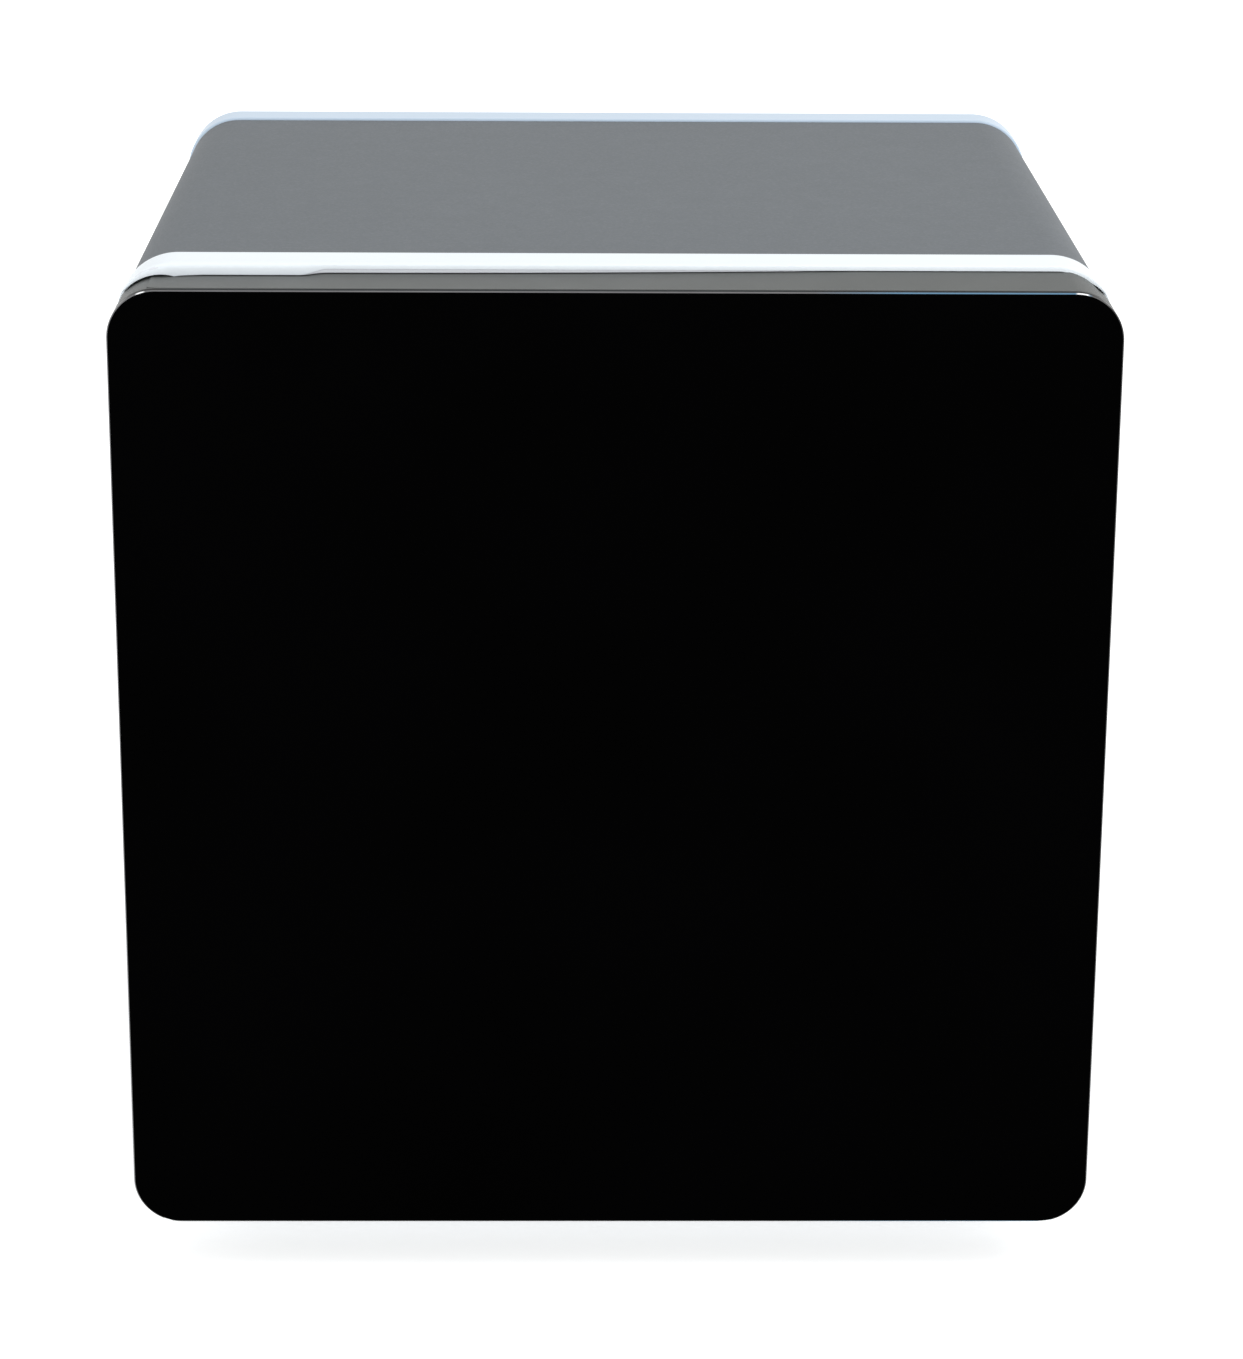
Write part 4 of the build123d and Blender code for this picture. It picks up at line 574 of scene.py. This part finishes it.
def make_door_glass():
    """The glass sheet, with a polished bevel round its front edge."""
    half_x, half_z, middle_z = outline_of("door_glass")
    face = low("door_glass").y
    back = high("door_glass").y
    section = [
        Vector((GLASS_BEVEL * 1.0, face)),
        Vector((GLASS_BEVEL * 0.12, face + GLASS_BEVEL * 0.88)),
        Vector((0.0, face + GLASS_BEVEL * 1.15)),
        Vector((0.0, back - GLASS_BEVEL / 4)),
        Vector((GLASS_BEVEL / 4, back)),
    ]
    build = bmesh.new()
    places = stations()
    rings = [outline_ring(p, half_x, half_z, middle_z, concentric(GLASS_RADIUS), places) for p in section]
    loft(build, rings, capped=True)
    for face_made in build.faces:
        middle = face_made.calc_center_median().y
        on_bevel = face + 0.01 * MM < middle < face + GLASS_BEVEL * 1.1
        face_made.material_index = 1 if on_bevel else 0
    # the bevel's faces get the painted reflection and painted glints, the rest the black glass
    finishes = [finish_of("black_glass"), bevel_painted_reflection()]
    to_piece("door_glass_sheet", build, "door", "black_glass", finishes, ["door_glass"])


# ================================================================ FRONT RING
RING_RADIUS = 27.0 * MM
RING_EDGE = 2.2 * MM
REAR_EDGE = 1.1 * MM
VISOR_EDGE = 0.5 * MM
GROOVE_EDGE = 0.3 * MM
MOUTH_EDGE = 0.8 * MM
MOUTH_RADIUS = 20.0 * MM
MOUTH_WALL = 3.8 * MM
MOUTH_PLAY = 0.2 * MM        # ring to the liner inside it
RING_FACE = 3.0 * MM
NEAR_INSET = 6.0 * MM        # the ring's section follows its outline this far in, then turns square
SIDE_INSET = 4.0 * MM        # where the face's corner would be, along the sides and the bottom
FRAME_ROOM = 2.9 * MM        # round the steel frame that the seal grips, in its groove
FRAME_PLAY = 0.05 * MM       # and behind it
FRAME_WIDTH = 14.0 * MM
SPIGOT_INSET = 2.4 * MM
SPIGOT_WALL = 2.0 * MM

# The visor's white face ends at these heights over the door's top edge.
CORNER_GAP = 0.5 * MM        # at the hinge corner
HOOD_GAP = 1.3 * MM          # over the hinge
FACE_GAP = 4.0 * MM          # over the rest of the door
HOOD_START = -180.0 * MM     # X where the hood has its full gap
CORNER_RUN = 20.0 * MM       # width over which it gets there
HOOD_END = -138.0 * MM       # the edge rises in an S between these two
STEP_START = -126.0 * MM
STEP_DEPTH = 0.5 * MM        # how far the lip under the face stands back
STEP_PLAY = 0.3 * MM         # faces this near that depth get the lip's painted shade
LIP_CLEAR = 2.0 * MM         # and they lie at least this far under the ring's top
THIN_VISOR = 2.5 * MM        # height of the face round the corner on the opening side
LEAST_VISOR = 0.6 * MM
WRAP_FULL = radians(50)      # the visor keeps its depth this far round each corner
WRAP_END = radians(62)       # and has rounded off to nothing here

# The crown of the door's rim rises towards the lip.
CROWN_GAP = 0.3 * MM
CROWN_HOOD = 0.9 * MM        # its height under the hood
CROWN_START = 1.9 * MM       # where the S ends
CROWN_FULL = 3.7 * MM        # and from here on
CROWN_END = 105.0 * MM
PLAIN_PLACE = 150.0 * MM     # one more station between the crown's end and the corner


def smooth_step(share):
    share = min(max(share, 0.0), 1.0)
    return share * share * (3 - 2 * share)


def visor_share(station):
    """How much of its depth the visor has at a station: 1 over the top edge, 0 down the sides."""
    side_x, side_z, angle, x = station
    if side_z < 0:
        return 0.0
    turned = abs(angle - pi / 2)
    past = (turned - WRAP_FULL) / (WRAP_END - WRAP_FULL)
    return 1.0 if past <= 0 else sqrt(max(1.0 - past * past, 0.0))


def s_share(x):
    """0 before the S, 1 after it."""
    return smooth_step((x - HOOD_END) / (STEP_START - HOOD_END))


def top_places():
    """X of the stations along the S and along the crown's rise."""
    rise = [HOOD_END + (STEP_START - HOOD_END) * step / 10 for step in range(11)]
    run = [STEP_START + (CROWN_END - STEP_START) * step / 8 for step in range(1, 9)]
    return [HOOD_START, *rise, *run, PLAIN_PLACE]


def face_gap(x):
    """Height of the white face's lower edge over the door's top edge, at X."""
    if x < HOOD_START:
        return HOOD_GAP + (CORNER_GAP - HOOD_GAP) * min((HOOD_START - x) / CORNER_RUN, 1.0)
    return HOOD_GAP + (FACE_GAP - HOOD_GAP) * s_share(x)


def crown_height(x):
    """How far the rim's rear top edge stands over the door's top edge, at X."""
    if x < STEP_START:
        return CROWN_HOOD + (CROWN_START - CROWN_HOOD) * s_share(x)
    share = min((x - STEP_START) / (CROWN_END - STEP_START), 1.0)
    return CROWN_START + (CROWN_FULL - CROWN_START) * share * share


def corner_room(station, ring, door):
    """Distance from the door's outline out to the ring's, at a station of a top corner.

    Ring and door are each (half width, half height, height of the middle, corner radius).
    """
    side_x, side_z, angle, x = station
    half_x, half_z, middle_z, radius = ring
    door_half_x, door_half_z, door_z, door_radius = door
    step_x = side_x * (half_x - radius - door_half_x + door_radius)
    step_z = middle_z + half_z - radius - door_z - door_half_z + door_radius
    return radius - door_radius + step_x * cos(angle) + step_z * sin(angle)


def visor_edges(station, ring, door):
    """Insets from the ring's outline of the white face's lower edge, and of the lip below it."""
    side_x, side_z, angle, x = station
    if x is not None:
        room = ring[1] + ring[2] - door[1] - door[2]
        return room - face_gap(x), room - min(crown_height(x) + CROWN_GAP, face_gap(x))
    room = corner_room(station, ring, door)
    if side_x < 0:
        face = room - CROWN_GAP - (CORNER_GAP - CROWN_GAP) * corner_fade(station)
    else:
        face = min(THIN_VISOR, room - CROWN_GAP)
    face = max(face, LEAST_VISOR)
    return face, face


def corner_fade(station):
    """1 where a top corner starts, 0 where it has turned as far as the visor reaches."""
    return 1.0 - smooth_step(abs(station[2] - pi / 2) / WRAP_END)


def make_front_ring():
    """The white frame with the mouth, the seal frame's groove, the visor, and a spigot for the wrapper."""
    half_x, half_z, middle_z = outline_of("front_ring")
    ring = (half_x, half_z, middle_z, RING_RADIUS)
    door = (*outline_of("door_glass"), GLASS_RADIUS)
    visor_front = low("front_ring").y
    spigot_back = high("front_ring").y
    cabinet_face = low("strike_frame").y
    ring_back = low("outer_wrapper").y
    mouth = half_z - outline_of("inner_liner")[0] - MOUTH_PLAY
    frame_seat = high("strike_frame").y + FRAME_PLAY
    frame_outer = half_z - high("strike_frame").x - FRAME_ROOM
    frame_inner = frame_outer + FRAME_WIDTH
    places = stations([HOOD_START - CORNER_RUN / 2, *top_places()])
    columns = []
    for place in places:
        front = cabinet_face + (visor_front - cabinet_face) * visor_share(place)
        edge = lip = SIDE_INSET
        if place[1] > 0:
            edge, lip = visor_edges(place, ring, door)
        back = min(STEP_DEPTH, cabinet_face - front)
        section = rounded([
            (0.0, ring_back, REAR_EDGE),
            (0.0, front, RING_EDGE),
            (edge, front, VISOR_EDGE),
            (edge, front + back, 0.0),
            (lip, front + back, VISOR_EDGE),
            (lip, cabinet_face, 0.0),
            (frame_outer, cabinet_face, GROOVE_EDGE),
            (frame_outer, frame_seat, 0.0),
            (frame_inner, frame_seat, 0.0),
            (frame_inner, cabinet_face, GROOVE_EDGE),
            (mouth, cabinet_face, MOUTH_EDGE),
            (mouth, ring_back, 0.0),
            (mouth - MOUTH_WALL, ring_back, 0.0),
            (mouth - MOUTH_WALL, cabinet_face + RING_FACE, 0.0),
            (SPIGOT_INSET + SPIGOT_WALL, cabinet_face + RING_FACE, 0.0),
            (SPIGOT_INSET + SPIGOT_WALL, spigot_back, 0.0),
            (SPIGOT_INSET, spigot_back, 0.0),
            (SPIGOT_INSET, ring_back, 0.0),
        ], closed=True)
        column = []
        for inset, y in section:
            square = min(max((inset - NEAR_INSET) / (mouth - MOUTH_WALL - NEAR_INSET), 0.0), 1.0)
            radius = (RING_RADIUS - min(inset, NEAR_INSET)) * (1 - square) + MOUTH_RADIUS * square
            across = half_x - inset + (half_z - half_x) * square
            x, z = spot(place, across, half_z - inset, radius)
            column.append((x, y, middle_z + z))
        columns.append(column)
    build = bmesh.new()
    loft(build, columns, closed=True)
    lip_bottom = high("door_glass").z
    lip_top = high("front_ring").z - LIP_CLEAR
    for face in build.faces:
        centre = face.calc_center_median()
        set_back = abs(centre.y - visor_front - STEP_DEPTH) < STEP_PLAY
        face.material_index = 1 if set_back and lip_bottom < centre.z < lip_top else 0
    # the lip's faces get the greyer copy of the white, with painted shade
    finishes = [finish_of("ring_white"), ring_lip_painted_shade()]
    to_piece("front_ring_moulding", build, "cabinet", "ring_white", finishes, ["front_ring"])


# ================================================================ CROWN OF THE DOOR RIM
CROWN_BASE = 1.2 * MM        # how far the crown's foot reaches into the rim
CROWN_AHEAD = 1.5 * MM       # the rim's front to the crown's
CROWN_BEHIND = 0.3 * MM      # the crown's back to the rim's
CROWN_BEND = 1.5 * MM
CROWN_LEAST = 0.02 * MM
HINGE_CLEAR = 203.0 * MM     # it stops here, short of the corner that turns about the pin
FADING_PLACES = (-HINGE_CLEAR, -195.0 * MM, -188.0 * MM)
FADED = 0.2                  # share of its height that is left at its end
FIRST_STEP = 8               # step of the corner on the opening side where it starts


def make_rim_crown():
    """The grey ramp along the rim's top, which rises towards the back and towards the opening side."""
    half_x, half_z, middle_z = outline_of("door_glass")
    door = (half_x, half_z, middle_z, GLASS_RADIUS)
    ring = (*outline_of("front_ring"), RING_RADIUS)
    front = low("door_rim").y + CROWN_AHEAD
    crest = low("front_ring").y
    back = high("door_rim").y - CROWN_BEHIND
    fade = HINGE_CLEAR + HOOD_START
    places = [(1, 1, pi / 2 * step / CORNER_STEPS, None) for step in range(FIRST_STEP, CORNER_STEPS + 1)]
    places += [(0, 1, pi / 2, x) for x in reversed([*FADING_PLACES, *top_places()])]
    rings = []
    for place in places:
        x = place[3]
        if x is None:
            room = corner_room(place, ring, door)
            height = max(room - visor_edges(place, ring, door)[1] - CROWN_GAP, CROWN_LEAST)
        else:
            height = crown_height(x) * (FADED + (1 - FADED) * smooth_step((x + HINGE_CLEAR) / fade))
        section = rounded([
            (CROWN_BASE, front, 0.0),
            (0.0, front, 0.0),
            (-height, crest, CROWN_BEND),
            (-height, back, 0.0),
            (CROWN_BASE, back, 0.0),
        ])
        ring_points = []
        for inset, y in section:
            across, up = spot(place, half_x - inset, half_z - inset, GLASS_RADIUS - inset)
            ring_points.append((across, y, middle_z + up))
        rings.append(ring_points)
    build = bmesh.new()
    loft(build, rings, capped=True)
    to_piece("rim_crown", build, "door", "rim_grey")


# ================================================================ WRAPPER AND REAR RING
WRAPPER_RADIUS = 25.8 * MM
WRAPPER_SHEET = 1.0 * MM
WRAPPER_HEM = 0.35 * MM


def make_wrapper():
    """The sheet-metal tube between the rings."""
    half_x, half_z, middle_z = outline_of("outer_wrapper")
    front = low("outer_wrapper").y
    back = high("outer_wrapper").y
    section = rounded([
        (0.0, front, WRAPPER_HEM),
        (0.0, back, WRAPPER_HEM),
        (WRAPPER_SHEET, back, WRAPPER_HEM),
        (WRAPPER_SHEET, front, WRAPPER_HEM),
    ], closed=True, steps=3)
    build = bmesh.new()
    places = stations()
    rings = [outline_ring(p, half_x, half_z, middle_z, concentric(WRAPPER_RADIUS), places) for p in section]
    loft(build, rings, closed=True)
    to_piece("wrapper_sheet", build, "cabinet", "wrapper_grey", replaced=["outer_wrapper"])


PANEL_PLAY = 0.2 * MM        # rear panel to the ring round it
LEDGE_INSET = 15.0 * MM      # the ledge that the panel is screwed to reaches in this far
LEDGE_SHEET = 3.0 * MM
LEDGE_EDGE = 0.4 * MM
SPIGOT_EDGE = 0.3 * MM


def make_rear_ring():
    """The white frame behind the wrapper, with the ledge for the rear panel and a spigot in front."""
    half_x, half_z, middle_z = outline_of("rear_ring")
    ring_front = high("outer_wrapper").y
    spigot_front = low("rear_ring").y
    back = high("rear_ring").y
    panel = low("rear_panel").y
    opening = half_x - outline_of("rear_panel")[0] - PANEL_PLAY
    section = rounded([
        (0.0, ring_front, REAR_EDGE),
        (0.0, back, RING_EDGE),
        (opening, back, MOUTH_EDGE),
        (opening, panel, 0.0),
        (LEDGE_INSET, panel, LEDGE_EDGE),
        (LEDGE_INSET, panel - LEDGE_SHEET, LEDGE_EDGE),
        (opening, panel - LEDGE_SHEET, 0.0),
        (SPIGOT_INSET + SPIGOT_WALL, ring_front, 0.0),
        (SPIGOT_INSET + SPIGOT_WALL, spigot_front, SPIGOT_EDGE),
        (SPIGOT_INSET, spigot_front, SPIGOT_EDGE),
        (SPIGOT_INSET, ring_front, 0.0),
    ], closed=True)
    build = bmesh.new()
    places = stations()
    rings = [outline_ring(p, half_x, half_z, middle_z, concentric(RING_RADIUS), places) for p in section]
    loft(build, rings, closed=True)
    # the rear ring takes the darker, bluer copy of the white, with painted shade
    to_piece("rear_ring_moulding", build, "cabinet", "ring_white", [rear_white_painted_shade()], ["rear_ring"])


# ================================================================ THE WHOLE FRIDGE
def dress_cad_nodes():
    """Gives every CAD node the finish of its slot."""
    for part in frame["record"]["subparts"]:
        node = NODES[part["node"]]
        for material_slot in node.material_slots:
            material_slot.material = finish_of(part["material_slot"])


def add_lights():
    """A soft key from the right and above, and a weak fill from the front."""
    add_area_light("key", (1.7, 0.0, 2.3), (0.0, 0.0, 0.4), (2.2, 1.6), 20.0)
    add_area_light("front_fill", (0.0, -3.2, 0.35), (0.0, 0.0, 0.30), (2.4, 1.4), 24.0)


bpy.context.scene.view_settings.view_transform = "Standard"
add_camera()
add_world()
add_lights()
add_floor()
dress_cad_nodes()
make_door_glass()
make_front_ring()
make_rim_crown()
make_wrapper()
make_rear_ring()
